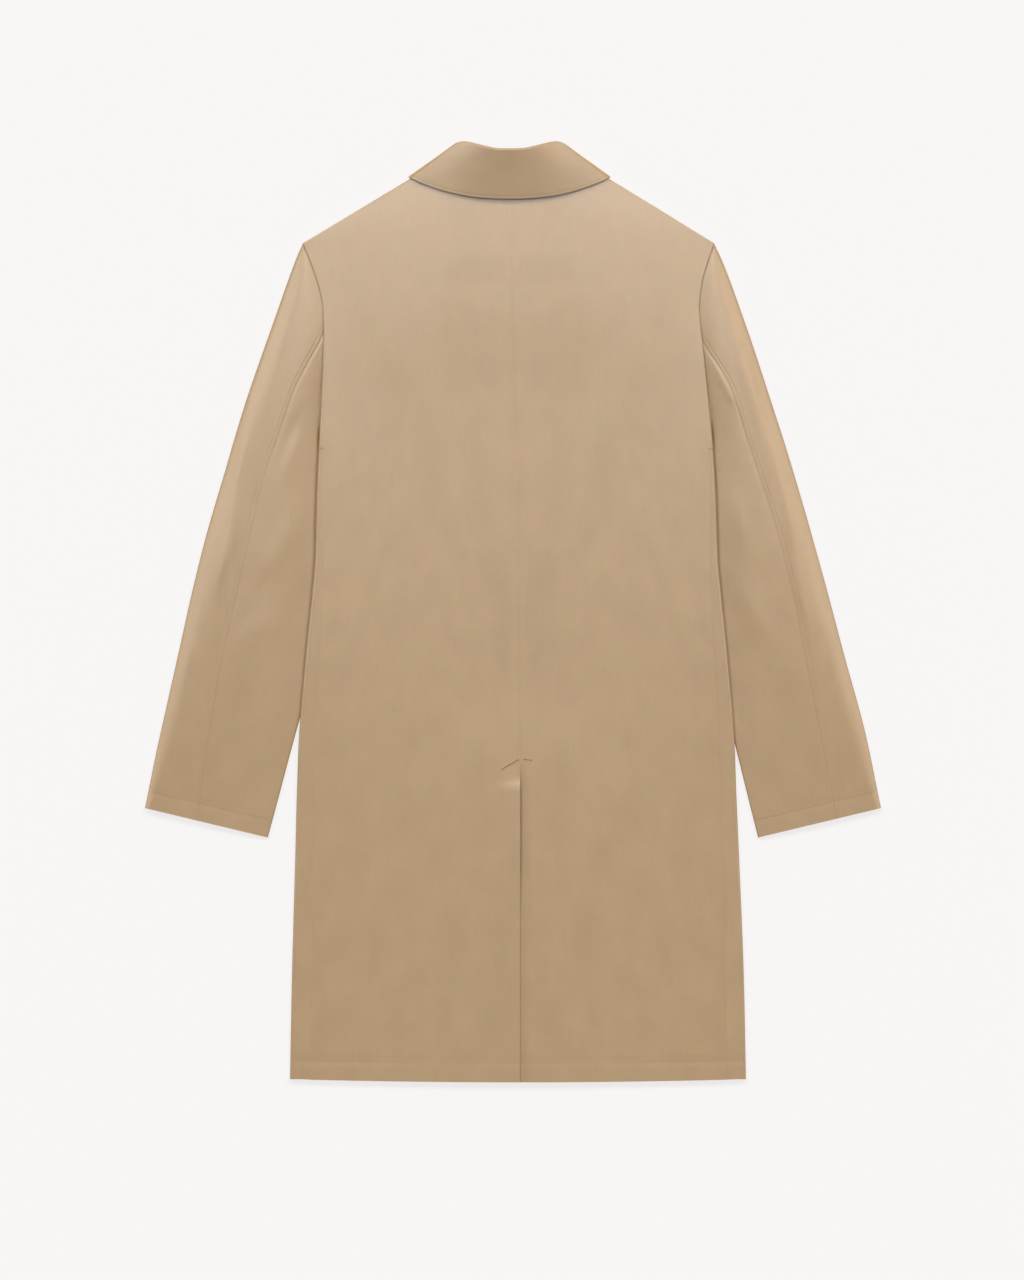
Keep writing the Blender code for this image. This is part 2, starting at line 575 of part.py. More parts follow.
def fall_stations():
    """Half of the fall, from the centre back round the side fold to its front end.

    Gives the outer edge, the top of the roll and the outward normals, station by station.
    """
    inset = FALL_FOLD * across_line(FALL_CORNER, ROLL_END)
    corner, roll_end = FALL_CORNER - inset, ROLL_END - inset
    share = np.linspace(0, 1, COLLAR_BACK_STATIONS)
    across = share * corner[0]
    edge = np.column_stack([across, FALL_CENTRE + FALL_RISE * (across / FALL_CORNER[0]) ** FALL_CURVE])
    edge_height = mix(FALL_EDGE_CENTRE, FALL_EDGE_SIDE, share ** 2)
    edge = np.column_stack([towards(edge, share, EDGE_DRAW, corner), edge_height])
    across = share * roll_end[0]
    roll = np.column_stack([across, ROLL_CENTRE + ROLL_RISE * (across / ROLL_END[0]) ** 2])
    roll_height = mix(FALL_ROLL_CENTRE, FALL_ROLL_SIDE, share ** 2)
    roll = np.column_stack([towards(roll, share, ROLL_DRAW, roll_end), roll_height])
    high = np.array([FALL_EDGE_SIDE, FALL_ROLL_SIDE])
    turn, normal = fold_turn(FALL_CORNER, ROLL_END, FALL_FOLD, np.zeros(2), high)
    share = np.linspace(0, 1, COLLAR_FRONT_STATIONS)
    front_edge = np.column_stack([bend(corner, FALL_FRONT_BEND, COLLAR_POINT, share), 0 * share])
    front_roll = np.column_stack([bend(roll_end, ROLL_FRONT_BEND, ROLL_FRONT, share), 0 * share])
    up = np.tile([0.0, 0.0, 1.0], (COLLAR_BACK_STATIONS, 1))
    down = np.tile([0.0, 0.0, -1.0], (COLLAR_FRONT_STATIONS, 1))
    return (np.vstack([edge, turn[:, 0], front_edge]), np.vstack([roll, turn[:, 1], front_roll]),
            np.vstack([up, normal, down]))


def neck_stations():
    """Half of the stand's lower line, just clear of the neck edges, at the fall's stations."""
    inset = STAND_FOLD * across_line(STAND_FOLD_LOW, STAND_FOLD_HIGH)
    fold = STAND_FOLD_LOW - inset
    share = np.linspace(0, 1, COLLAR_BACK_STATIONS)
    across = share * fold[0]
    back_line = towards(np.column_stack([across, back_top(across) + NECK_GAP]), share, EDGE_DRAW, fold)
    back_line = np.column_stack([back_line, mix(STAND_EDGE_CENTRE, STAND_EDGE_SIDE, share ** 2)])
    low, high = np.full(2, STAND_FRONT), np.full(2, STAND_EDGE_SIDE)
    turn, _ = fold_turn(STAND_FOLD_LOW, STAND_FOLD_HIGH, STAND_FOLD, low, high)
    share = np.linspace(0, 1, COLLAR_FRONT_STATIONS)
    across = mix(NECK_POINT[0], ROLL_FRONT[0], share)
    slope = 2 * (NECK_POINT[1] - FRONT_NECK) * across / NECK_POINT[0] ** 2
    square = np.column_stack([-slope, np.ones_like(slope)]) / np.hypot(slope, 1)[:, None]
    front_line = np.column_stack([across, front_top(across)]) + NECK_GAP * square
    front_line[0] = fold
    front_line = np.column_stack([front_line, np.full_like(share, STAND_FRONT)])
    return np.vstack([back_line, turn[:, 0], front_line])


def both_halves(half):
    """A collar piece's whole grid, from the right front end round the back to the left one."""
    right = place(RIGHT, *np.moveaxis(half, -1, 0))[::-1]
    left = place(LEFT, *np.moveaxis(half, -1, 0))[1:]
    return np.concatenate([right, left])


def collar_fall(collection):
    """The fall: from its outer edge up to the roll, over it and a little way down inside."""
    edge, tip, normal = fall_stations()
    up = (tip - edge) / np.linalg.norm(tip - edge, axis=-1, keepdims=True)
    start = tip - ROLL_RADIUS * up
    rise = np.linspace(0, 1, FALL_ROWS + 1)[None, :, None]
    hollow = FALL_BOW * 4 * rise * (1 - rise) * np.clip(normal[:, 2], 0, 1)[:, None, None]
    flat = mix(edge[:, None], start[:, None], rise) - hollow * normal[:, None]
    angle = np.linspace(0, np.pi, ROLL_STEPS + 1)[1:, None]
    turn = np.sin(angle) * up[:, None] - (1 - np.cos(angle)) * normal[:, None]
    over = start[:, None] + ROLL_RADIUS * turn
    panel("collar_fall", both_halves(np.hstack([flat, over])), collection, thickness=COLLAR_CLOTH)


def collar_stand(collection):
    """The stand: a band inside the collar, from the neck seam up to the end of the roll."""
    edge, tip, normal = fall_stations()
    up = (tip - edge) / np.linalg.norm(tip - edge, axis=-1, keepdims=True)
    inside = 2 * ROLL_RADIUS - COLLAR_CLOTH
    upper = tip - (ROLL_RADIUS + ROLL_GAP) * up - inside * normal
    rise = np.linspace(0, 1, STAND_ROWS)[None, :, None]
    grid = both_halves(mix(neck_stations()[:, None], upper[:, None], rise))
    panel("collar_stand", grid, collection, thickness=COLLAR_CLOTH)


def main():
    for old in list(bpy.data.objects):
        bpy.data.objects.remove(old, do_unlink=True)
    coat = bpy.data.collections.new("gabardine coat")
    bpy.context.scene.collection.children.link(coat)
    for side, word in ((LEFT, "left"), (RIGHT, "right")):
        front(side, f"front_{word}", coat)
        back(side, f"back_{word}", coat)
        upper_sleeve(side, f"sleeve_{word}_upper", coat)
        under_sleeve(side, f"sleeve_{word}_under", coat)
    collar_stand(coat)
    collar_fall(coat)


main()
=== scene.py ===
"""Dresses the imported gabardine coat: cloth panels with creases and seams, sewing, and the stage.

Sizes in tables are millimetres and meshes are metres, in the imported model's frame: +X is to the
right for someone who looks down at the back, +Y runs from the hem to the collar, and +Z is up.
Each half of the coat is worked out in its own coordinates: across, the distance from the centre
seam, along, which is Y, and a height. A side of -1 is the left half and +1 the right.
"""

import bpy
import numpy as np
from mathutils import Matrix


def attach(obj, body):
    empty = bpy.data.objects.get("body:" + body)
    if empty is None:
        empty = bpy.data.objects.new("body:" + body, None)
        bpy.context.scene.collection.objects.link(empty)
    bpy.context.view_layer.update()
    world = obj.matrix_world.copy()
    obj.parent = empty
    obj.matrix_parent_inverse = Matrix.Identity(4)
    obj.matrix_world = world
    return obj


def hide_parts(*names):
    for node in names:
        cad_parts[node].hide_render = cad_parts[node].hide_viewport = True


bl_info = {
    "name": "Gabardine coat",
    "version": (1, 0, 0),
    "blender": (4, 5, 0),
    "location": "3D View > Sidebar > Coat",
    "description": "Builds a knee-length gabardine coat, laid flat with its back up, on a plain stage",
    "category": "Object",
}

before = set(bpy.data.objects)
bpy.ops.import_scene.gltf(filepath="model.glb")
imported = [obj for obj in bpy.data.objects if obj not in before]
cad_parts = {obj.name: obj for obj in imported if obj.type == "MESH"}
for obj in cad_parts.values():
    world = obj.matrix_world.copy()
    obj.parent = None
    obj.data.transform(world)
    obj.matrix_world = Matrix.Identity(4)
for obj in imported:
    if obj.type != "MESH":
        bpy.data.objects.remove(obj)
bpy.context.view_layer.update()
BODY_NAME = "root"
CLOTH_NAME = "gabardine_cloth"
THREAD_NAME = "thread"
GRAIN_MAP = "grain"

MM = 0.001
LEFT, RIGHT = -1, 1
SIDE_WORDS = {LEFT: "left", RIGHT: "right"}
MIDDLE = (-0.6, -0.73)

# Cloth: walls of the shell and the collar, the gap at a seam, and the height that one ply takes up
CLOTH = 1.5
COLLAR_CLOTH = 2.0
SEAM_GAP = 0.04
PLY = 1.85
WELD_DISTANCE = 0.00001

# Back: hem, neck, shoulder line and vent
HEM_SIDE, HEM_CENTRE = -531.5, -535.0
BACK_NECK = 482.0
NECK_POINT = (76.0, 514.0)
SHOULDER_TIP = (232.5, 419.0)
BACK_NECK_CURVE = 2.2
SHOULDER_EDGE_NECK, SHOULDER_EDGE_TIP = 5.9, 7.3
SHOULDER_ROUND = 55.0
VENT_TOP = -167.0
VENT_LAP = 45.0
VENT_EASE = 40.0
VENT_RISE, VENT_RISE_FROM, VENT_RISE_TO = 1.0, 50.0, 110.0
VENT_DIP, VENT_SLOPE, VENT_OPENS = 0.45, 12.0, 36.0
VENT_FLAT, VENT_LOW = 0.8, (-360.0, -270.0)
VENT_SEWN = 2.0
LAP_DIP = 4.0
BACK_FLATNESS = 3.5

# Fronts and armholes: the lap at the centre front, the neck, the top of the side seam, the armhole's
# turned edge and scoop, and where the front lifts over the collar points and the sleeves. SEAM_SHIFT,
# like SEAM_DRAW, OUTER_SHIFT and EDGE_DRAW below, is a power that keeps a shift close to an edge
FRONT_LAP, FRONT_LAP_RISE = 30.0, 2.35
FRONT_LAP_EASE = (38.0, 62.0)
FRONT_NECK, FRONT_NECK_CURVE = 402.0, 2
SIDE_SEAM_TOP, SIDE_SEAM_GAP, SIDE_SEAM_END = 184.4, 0.04, 184.52
UNDERARM = 197.0
ARMHOLE_START = 192.0
ARMHOLE_TURN, ARMHOLE_ROUND, ARMHOLE_FLAT = 2.9, 3.2, (200.0, 340.0)
SEAM_SHIFT = 5
ARMHOLE_SCOOP, ARMHOLE_SCOOP_END = 9.0, 2.2
COLLAR_LIFT = 2.7
COLLAR_LIFT_FROM, COLLAR_LIFT_TO = 240.0, 325.0
SLEEVE_TUCK_FROM, SLEEVE_TUCK_TO = 85.0, 44.0

# Body sections, from the hem to the neck: half width, lean of the middle line, how far the centre
# seam sways off it, how far the front comes round onto the back, height of the back at its centre
# and at its side, and height of the front off the surface at its side, where the sleeve lies under it
BODY_COLUMNS = ("along", "half", "lean", "sway", "wrap", "crown", "flank", "lift")
BODY = np.array([
    (-531.5, 259.2, 5.1, 2.3, 23.0, 6.7, 6.0, 0.0),
    (-419.0, 257.0, 5.0, 2.4, 22.0, 6.7, 6.0, 0.0),
    (-282.0, 252.4, 4.2, 3.2, 20.0, 6.7, 6.4, 0.0),
    (-195.0, 249.4, 3.5, 3.9, 18.8, 6.6, 7.9, 0.0),
    (-150.0, 247.7, 3.5, 3.6, 18.2, 6.5, 8.8, 3.6),
    (-48.0, 239.5, 3.5, 2.4, 15.5, 6.4, 10.8, 3.6),
    (19.0, 232.7, 3.5, 2.0, 12.5, 6.4, 11.0, 3.6),
    (59.0, 229.1, 3.4, 2.0, 10.0, 6.4, 11.0, 3.6),
    (127.0, 227.1, 3.1, 1.6, 7.0, 6.5, 10.9, 3.6),
    (190.0, 223.8, 2.7, 0.3, 5.0, 6.6, 10.6, 3.6),
    (245.0, 219.6, 1.3, -0.8, 5.0, 6.9, 10.1, 2.0),
    (297.0, 215.6, -0.2, 0.4, 5.0, 8.0, 9.6, 2.0),
    (343.0, 213.1, -2.6, 1.6, 5.0, 9.0, 8.8, 2.3),
    (376.0, 218.4, -4.2, 1.8, 5.0, 9.2, 8.3, 2.3),
    (403.0, 227.2, -5.2, 2.0, 5.0, 9.2, 7.7, 2.3),
    (419.0, 232.5, -5.7, 2.0, 5.0, 9.1, 7.3, 2.3),
    (482.0, 232.5, -5.7, 1.5, 5.0, 8.4, 7.3, 2.3),
])

# Sleeve sections, from the cuff to the shoulder: outer fold, inner fold, the back seam on each side,
# lean of the sleeves' centre line, and height of the fullness along the outer side
SLEEVE_COLUMNS = ("along", "outer", "inner", "seam_left", "seam_right", "lean", "ridge")
SLEEVE = np.array([
    (-257.0, 426.0, 278.6, 366.5, 376.0, -0.6, 6.2),
    (-224.0, 418.5, 270.0, 362.0, 371.0, -0.6, 6.6),
    (-146.0, 402.5, 249.9, 351.5, 355.5, -0.6, 9.0),
    (-44.0, 377.5, 222.0, 331.0, 337.5, -2.8, 11.6),
    (24.0, 361.0, 205.0, 314.0, 325.5, -4.2, 12.4),
    (93.0, 342.8, 195.0, 297.5, 308.5, -5.1, 12.8),
    (161.0, 322.9, 205.0, 280.5, 286.5, -5.1, 12.6),
    (197.0, 312.2, 223.1, 267.0, 275.0, -5.6, 12.4),
    (250.0, 295.4, 223.1, 248.0, 259.0, -6.3, 12.0),
    (337.0, 265.7, 223.1, 212.0, 217.0, -6.3, 10.4),
    (400.0, 242.7, 223.1, 212.0, 217.0, -6.4, 8.4),
    (419.0, 234.0, 223.1, 212.0, 217.0, -6.4, 7.0),
])
CUFF_OUTER, CUFF_INNER = (418.4, -223.4), (278.6, -257.0)
SEAM_TOP, UNDER_TOP, FRONT_UNDER_TOP = 337.0, 0.992, 0.955
SEAM_AT_CUFF = {"seam_left": 0.398, "seam_right": 0.33}
SEAM_DRAW, OUTER_SHIFT = 40, 8
FRONT_SEAM_TOP = 262.0
FRONT_SEAM_AT_CUFF = 0.24
FRONT_SEAM_BEND = (278.0, 150.0)
LAP, LAP_END = 6.0, 0.7
LAP_OPENS, LAP_CLOSES = (199.0, 228.0), (409.0, 421.0)
SLEEVE_TUCK, TUCK_END = 3.4, 335.0
SEWN_DEPTH = 2.2
OUTER_FOLD, INNER_FOLD = 2.5, 2.02
FOLD_TIGHTNESS, FOLD_LIMIT = 2.2, 0.6
RIDGE_WIDTH, RIDGE_SHARE, RIDGE_POWER, RIDGE_REACH = 46.0, 0.4, 2.4, 1.0

# Collar: the roll at the top, the edge of the fall, and the points on the underside
ROLL_CENTRE, ROLL_RISE, ROLL_SPAN = 525.3, 8.9, (8.0, 58.0)
ROLL_END, ROLL_PEAK, ROLL_SIDE = (51.5, 533.8), (58.8, 535.0), (65.0, 529.3)
ROLL_RADIUS = 2.5
FALL_CENTRE, FALL_RISE, FALL_CURVE = 468.5, 25.5, 2.35
FALL_CORNER = (115.0, 494.0)
FALL_FRONT_BEND = (110.0, 418.0)
COLLAR_POINT = (52.0, 353.0)
ROLL_FRONT = (3.0, 428.0)
ROLL_FRONT_BEND = (40.0, 478.0)
FALL_EDGE_CENTRE, FALL_EDGE_SIDE = 13.7, 10.9
FALL_ROLL_CENTRE, FALL_ROLL_SIDE = 23.9, 16.0
FALL_BOW = 0.2
FALL_FOLD = 9.0
STAND_FOLD_LOW, STAND_FOLD_HIGH = (73.6, 515.2), (54.4, 530.2)
STAND_FOLD = 3.0
STAND_EDGE_CENTRE, STAND_EDGE_SIDE = 8.5, 5.5
STAND_FRONT = 2.4
EDGE_DRAW = 8
NECK_GAP, ROLL_GAP = 1.2, 1.5

# Grid steps, and how close the rows and columns lie to an edge
ROW_STEP, COLUMN_STEP = 4.5, 5.0
EDGE_STEPS = (0.4, 1.1, 2.2, 3.8)
SHORT_STRETCH, SHORT_ROWS = 20.0, 5
STRIP_LENGTH = 40.0
FOLD_STEPS, FOLD_COLUMNS = 14, 11
SLEEVE_STEP, LAP_COLUMNS = 4.5, 6
UPPER_COLUMNS, UNDER_COLUMNS, SEAM_CROWDING = 20, 22, 1.8
COLLAR_BACK_STATIONS, COLLAR_FRONT_STATIONS = 45, 34
FALL_STEP, ROLL_STEPS, STAND_ROWS = 3.0, 12, 8

# Soft creases, each a ridge (height above 0) or a trough. The columns are from_x, from_y, to_x, to_y,
# bow, width and height
BACK_CREASES = (
    (-150.0, 400.0, -60.0, 150.0, 12.0, 30.0, 0.8),
    (140.0, 380.0, 70.0, 120.0, -14.0, 27.0, 0.8),
    (-110.0, 120.0, -90.0, -260.0, 8.0, 40.0, 0.4),
    (130.0, -44.0, 38.0, -440.0, -12.0, 22.0, 1.0),
    (-190.0, 60.0, -180.0, -330.0, -6.0, 24.0, 0.4),
    (186.0, -20.0, 176.0, -380.0, 6.0, 26.0, 0.4),
)
SLEEVE_CREASES = {
    LEFT: (
        (-282.0, 300.0, -322.0, 80.0, 5.0, 6.5, 1.4),
        (-312.0, 138.0, -344.0, 0.0, -3.0, 6.0, 1.3),
        (-366.0, -10.0, -378.0, -120.0, 2.0, 5.0, 1.0),
        (-226.0, 250.0, -268.0, 150.0, 6.0, 6.0, -0.6),
        (-236.0, 215.0, -262.0, 120.0, 5.0, 7.0, 0.6),
        (-246.0, 130.0, -300.0, 20.0, -6.0, 12.0, 1.0),
        (-262.0, 10.0, -330.0, -70.0, 6.0, 14.0, 1.0),
    ),
    RIGHT: (
        (240.0, 335.0, 285.0, 185.0, -5.0, 8.0, 1.2),
        (284.0, 220.0, 325.0, 45.0, -3.0, 5.5, 1.1),
        (317.0, 85.0, 338.0, -40.0, 2.0, 5.5, 0.9),
        (356.0, 20.0, 364.0, -80.0, -2.0, 5.0, 1.0),
        (222.0, 300.0, 262.0, 222.0, 4.0, 5.0, 1.0),
        (238.0, 160.0, 262.0, 50.0, -5.0, 9.0, 1.0),
        (252.0, 60.0, 310.0, -60.0, 6.0, 13.0, 1.0),
    ),
}

# Stitches: rings of one, as shares of its length and radius, sides of the thread, how deep its ends
# dip and how far it stands out of the cloth, and the ends of the rows. A bar of the vent is a side,
# and its first and last point across and along
STITCH_RINGS = np.array([
    (-0.5, 0.05), (-0.42, 0.7), (-0.2, 1.0), (0.0, 1.0), (0.2, 1.0), (0.42, 0.7), (0.5, 0.05)])
STITCH_SIDES, STITCH_DIP, STITCH_RISE = 6, 0.35, 0.3
SEAM_STITCH_ROOM = 3
HEM_STITCH_START, HEM_STITCH_END, HEM_STITCH_POINTS = 2.0, 6.0, 60
COLLAR_STITCH_TURN = 0.3
BAR_POINTS = 8
VENT_BARS = ((LEFT, (0.8, -167.6), (21.8, -179.8)), (RIGHT, (4.1, -167.7), (14.2, -168.8)))
UP = np.array([0.0, 0.0, 1.0])

# Noise in the cloth: size across its grain and along it, and detail. Then how strongly the noise and
# the twill shade the colour, stand in relief and change the roughness, and the other surface values
NOISES = {
    "warp": (2.6, 45.0, 2.0),
    "weft": (40.0, 2.4, 2.0),
    "cloud": (30.0, 46.0, 3.0),
    "patch": (21.0, 26.0, 2.0),
    "knot": (3.0, 26.0, 0.0),
}
PATCH_SHARE, KNOT_LEVEL, KNOT_SHADE, TWILL_SHADE = 2.0, 0.16, 6.0, 0.012
TWILL_RELIEF, WARP_RELIEF, WEFT_RELIEF = 0.5, 1.5, 1.2
CLOUD_ROUGHNESS, SHEEN_ROUGHNESS, CLOTH_GLOSS = 0.1, 0.25, 0.8
THREAD_ROUGHNESS = 0.7

# Stage, in metres: the floor, the camera, the share of the way up the sky that its bright band takes,
# and the places and sizes of the lights, of which those off the middle line come in pairs
FLOOR_SIZE, FLOOR_DROP, FLOOR_ROUGHNESS, FLOOR_GLOSS = 14.0, 0.0005, 0.9, 0.1
CAMERA_PLACE, CAMERA_SENSOR, CAMERA_REACH = (-0.0011, -0.0317), 36.0, 100.0
SKY_BAND = 0.2
KEY_PLACE = (2.6, 4.2, 4.2)
GLOSS_PLACE, GLOSS_SIZE = (0.0, 1.2, 3.2), 1.0
LOW_PLACE, LOW_SIZE = (0.0, -1.3, 3.2), 1.5
SIDE_PLACE, SIDE_SIZE = (2.3, 1.4, 3.0), 2.2
RIM_PLACE, RIM_TOP, RIM_SIZE = (3.4, 0.3, 1.2), (0.0, 3.6, 1.2), 2.0


class CoatCloth(bpy.types.PropertyGroup):
    """The gabardine: its wall, colour, weave and surface."""

    shell: bpy.props.FloatProperty(
        name="Shell", description="Wall of the coat's panels", default=CLOTH * MM, unit="LENGTH")
    collar: bpy.props.FloatProperty(
        name="Collar", description="Wall of the collar's pieces", default=COLLAR_CLOTH * MM, unit="LENGTH")
    tan: bpy.props.FloatVectorProperty(
        name="Tan", description="The cloth's main colour", default=(0.414, 0.246, 0.110), subtype="COLOR")
    sand: bpy.props.FloatVectorProperty(
        name="Sand", description="The yellower colour of its faint clouds", default=(0.398, 0.257, 0.106),
        subtype="COLOR")
    slub: bpy.props.FloatProperty(
        name="Slub", description="Strength of the uneven yarns", default=0.04, subtype="FACTOR")
    cloud: bpy.props.FloatProperty(
        name="Cloud", description="Strength of the broad uneven shade", default=0.21, subtype="FACTOR")
    twill: bpy.props.FloatProperty(
        name="Twill", description="Distance between two twill lines", default=0.0007, unit="LENGTH")
    twill_angle: bpy.props.FloatProperty(
        name="Twill angle", description="Slope of the twill lines", default=1.1, subtype="ANGLE")
    relief: bpy.props.FloatProperty(
        name="Relief", description="Depth of the weave", default=0.000015, unit="LENGTH")
    roughness: bpy.props.FloatProperty(
        name="Roughness", description="Roughness of the cloth", default=0.42, subtype="FACTOR")
    sheen: bpy.props.FloatProperty(
        name="Sheen", description="Strength of the nap's sheen", default=0.3, subtype="FACTOR")


class CoatForm(bpy.types.PropertyGroup):
    """How the cloth lies: creases, seam valleys and the vent's lifted edge."""

    creases: bpy.props.FloatProperty(
        name="Creases", description="Height of the soft creases, as a share of the drawn one", default=1.0,
        subtype="FACTOR", soft_max=2.0)
    valley: bpy.props.FloatProperty(
        name="Valley", description="Depth of a seam's valley", default=0.0002, unit="LENGTH")
    valley_width: bpy.props.FloatProperty(
        name="Valley width", description="Half width of a seam's valley", default=0.0018, unit="LENGTH")
    vent_curl: bpy.props.FloatProperty(
        name="Vent curl", description="How far the vent's upper edge lifts", default=0.0015, unit="LENGTH")


class CoatSewing(bpy.types.PropertyGroup):
    """The topstitching: where it runs, and its thread."""

    hem: bpy.props.FloatProperty(
        name="Hem", description="Height of the hem stitch above the edge", default=0.0225, unit="LENGTH")
    cuff: bpy.props.FloatProperty(
        name="Cuff", description="Height of the cuff stitch above the edge", default=0.020, unit="LENGTH")
    collar: bpy.props.FloatProperty(
        name="Collar", description="Distance of the collar stitch from the edge", default=0.004,
        unit="LENGTH")
    seam: bpy.props.FloatProperty(
        name="Seam", description="Distance of the sleeve seam's stitch from the seam", default=0.0045,
        unit="LENGTH")
    stitch: bpy.props.FloatProperty(
        name="Stitch", description="Length of a stitch", default=0.0028, unit="LENGTH")
    gap: bpy.props.FloatProperty(
        name="Gap", description="Gap between two stitches", default=0.0006, unit="LENGTH")
    thread: bpy.props.FloatProperty(
        name="Thread", description="Radius of the thread", default=0.00026, unit="LENGTH")
    groove: bpy.props.FloatProperty(
        name="Groove", description="Depth of the line that a stitch draws in", default=0.0005, unit="LENGTH")
    bar: bpy.props.FloatProperty(
        name="Bar", description="Half width of the vent's sewn bars", default=0.0008, unit="LENGTH")
    colour: bpy.props.FloatVectorProperty(
        name="Colour", description="The thread's colour", default=(0.34, 0.21, 0.095), subtype="COLOR")


class CoatStage(bpy.types.PropertyGroup):
    """The floor, the lights and the camera."""

    floor: bpy.props.FloatVectorProperty(
        name="Floor", description="Colour of the floor, which is a light table", size=3,
        default=(0.155, 0.152, 0.1505), subtype="COLOR")
    floor_glow: bpy.props.FloatProperty(
        name="Floor glow", description="Strength of the floor's own light", default=5.15)
    key: bpy.props.FloatProperty(
        name="Key", description="Strength of the two soft lights from the collar's end", default=1.55)
    key_angle: bpy.props.FloatProperty(
        name="Key angle", description="Size of each, as seen from the coat", default=0.35, subtype="ANGLE")
    gloss: bpy.props.FloatProperty(
        name="Gloss", description="Strength of the light whose gloss shows on the upper back", default=52.0,
        unit="POWER")
    low: bpy.props.FloatProperty(
        name="Low gloss", description="Strength of the light whose gloss shows on the lower back",
        default=16.5, unit="POWER")
    side: bpy.props.FloatProperty(
        name="Side", description="Strength of the two broad lights whose gloss shows on the sleeves",
        default=85.0, unit="POWER")
    rim: bpy.props.FloatProperty(
        name="Rim", description="Strength of the three low lights whose gloss shows along the folds",
        default=40.0, unit="POWER")
    ambient: bpy.props.FloatProperty(
        name="Ambient", description="Strength of the light from all round", default=0.2)
    horizon: bpy.props.FloatProperty(
        name="Horizon", description="Strength added to it close to the horizon", default=0.8)
    camera_height: bpy.props.FloatProperty(
        name="Camera height", description="Height of the camera", default=8.0, unit="LENGTH")
    view_length: bpy.props.FloatProperty(
        name="View length", description="Length of the floor that the picture's long side takes in",
        default=1.4554, unit="LENGTH")


def form(name):
    """A length of the cloth's form, in millimetres."""
    return getattr(bpy.context.scene.coat_form, name) / MM


def sewing(name):
    """A length of the sewing, in millimetres."""
    return getattr(bpy.context.scene.coat_sewing, name) / MM


def table(rows, columns, column, along):
    """A monotone cubic through one column of a table, read at heights along the coat."""
    knots = rows[:, 0]
    values = rows[:, columns.index(column)]
    steps = np.diff(knots)
    slopes = np.diff(values) / steps
    product = slopes[:-1] * slopes[1:]
    total = slopes[:-1] + slopes[1:]
    middle = np.where(product > 0, 2 * product / np.where(total == 0, 1, total), 0)
    tangents = np.concatenate([slopes[:1], middle, slopes[-1:]])
    at = np.clip(along, knots[0], knots[-1])
    i = np.clip(np.searchsorted(knots, at) - 1, 0, len(steps) - 1)
    t = (at - knots[i]) / steps[i]
    start = values[i] * (1 + 2 * t) * (1 - t) ** 2 + values[i + 1] * t * t * (3 - 2 * t)
    return start + steps[i] * (tangents[i] * t * (1 - t) ** 2 - tangents[i + 1] * t * t * (1 - t))


def body(column, along):
    return table(BODY, BODY_COLUMNS, column, along)


def sleeve(column, along):
    return table(SLEEVE, SLEEVE_COLUMNS, column, along)


def mix(first, last, amount):
    return first + (last - first) * amount


def ease(low, high, value):
    """Rises smoothly from 0 at low to 1 at high."""
    t = np.clip((value - low) / (high - low), 0, 1)
    return t * t * (3 - 2 * t)


def rounded(t):
    """A quarter round: steep at 0, level from 1 on."""
    return np.sqrt(1 - (1 - np.clip(t, 0, 1)) ** 2)


def bell(distance, width):
    """A bell curve: 1 on the line and near 0 at twice the width."""
    return np.exp(-(distance / width) ** 2)


def bend(first, control, last, t):
    """A quadratic curve between two points, drawn towards a control point."""
    t = np.asarray(t)[..., None]
    return (1 - t) ** 2 * np.array(first) + 2 * t * (1 - t) * np.array(control) + t * t * np.array(last)


def joined(parts):
    """Stretches of values as one, without the values that repeat where two of them meet."""
    return np.concatenate(parts[:1] + [part[1:] for part in parts[1:]])


def runs(*stops):
    """Values from stretches of (first, last, count), each starting where the one before it ends."""
    return joined([np.linspace(first, last, count) for first, last, count in stops])


def even_shares(length, step):
    """Shares from 0 to 1 over a length: even steps, and closer ones at both ends."""
    if length < SHORT_STRETCH:
        return np.linspace(0, 1, int(np.clip(length, 2, SHORT_ROWS)))
    near = np.array(EDGE_STEPS)
    middle = np.linspace(near[-1], length - near[-1], int(length / step))
    return np.concatenate([[0], near[:-1], middle, length - near[-2::-1], [length]]) / length


def place(side, across, along, height):
    """Grid points in the coat's frame, with the middle of its outline at the origin.

    The sway is full at the centre seam and dies away, as a parabola, at the sides.
    """
    across, along, height = np.broadcast_arrays(across, along, height)
    sway = body("sway", along) * np.clip(1 - (across / body("half", along)) ** 2, 0, 1)
    x = side * across + body("lean", along) + sway
    return np.stack([x - MIDDLE[0], along - MIDDLE[1], height], axis=-1)


def plan(across, along):
    """Points seen from above."""
    return np.stack([across, along], axis=-1)


def place_grid(side, grid):
    return place(side, *np.moveaxis(grid, -1, 0))


def valley(distance):
    """How far the cloth sinks beside a seam: a bell of the distance from it."""
    return form("valley") * bell(distance, form("valley_width"))


def groove(distance):
    """How far a stitch draws the cloth in: a bell of the distance from it."""
    return sewing("groove") * bell(distance, form("valley_width"))


def creases(rows, side, across, along):
    """Soft creases: each row is a bell across a bowed line, which fades out at both its ends."""
    x = side * across + body("lean", along)
    total = 0
    for from_x, from_y, to_x, to_y, bow, width, height in rows:
        reach = np.array([to_x - from_x, to_y - from_y])
        length = np.hypot(*reach)
        part = np.clip(((x - from_x) * reach[0] + (along - from_y) * reach[1]) / length ** 2, 0, 1)
        off = ((x - from_x) * reach[1] - (along - from_y) * reach[0]) / length
        off = off - bow * 4 * part * (1 - part)
        total += height * np.sin(np.pi * part) ** 2 * bell(off, width)
    return total * bpy.context.scene.coat_form.creases


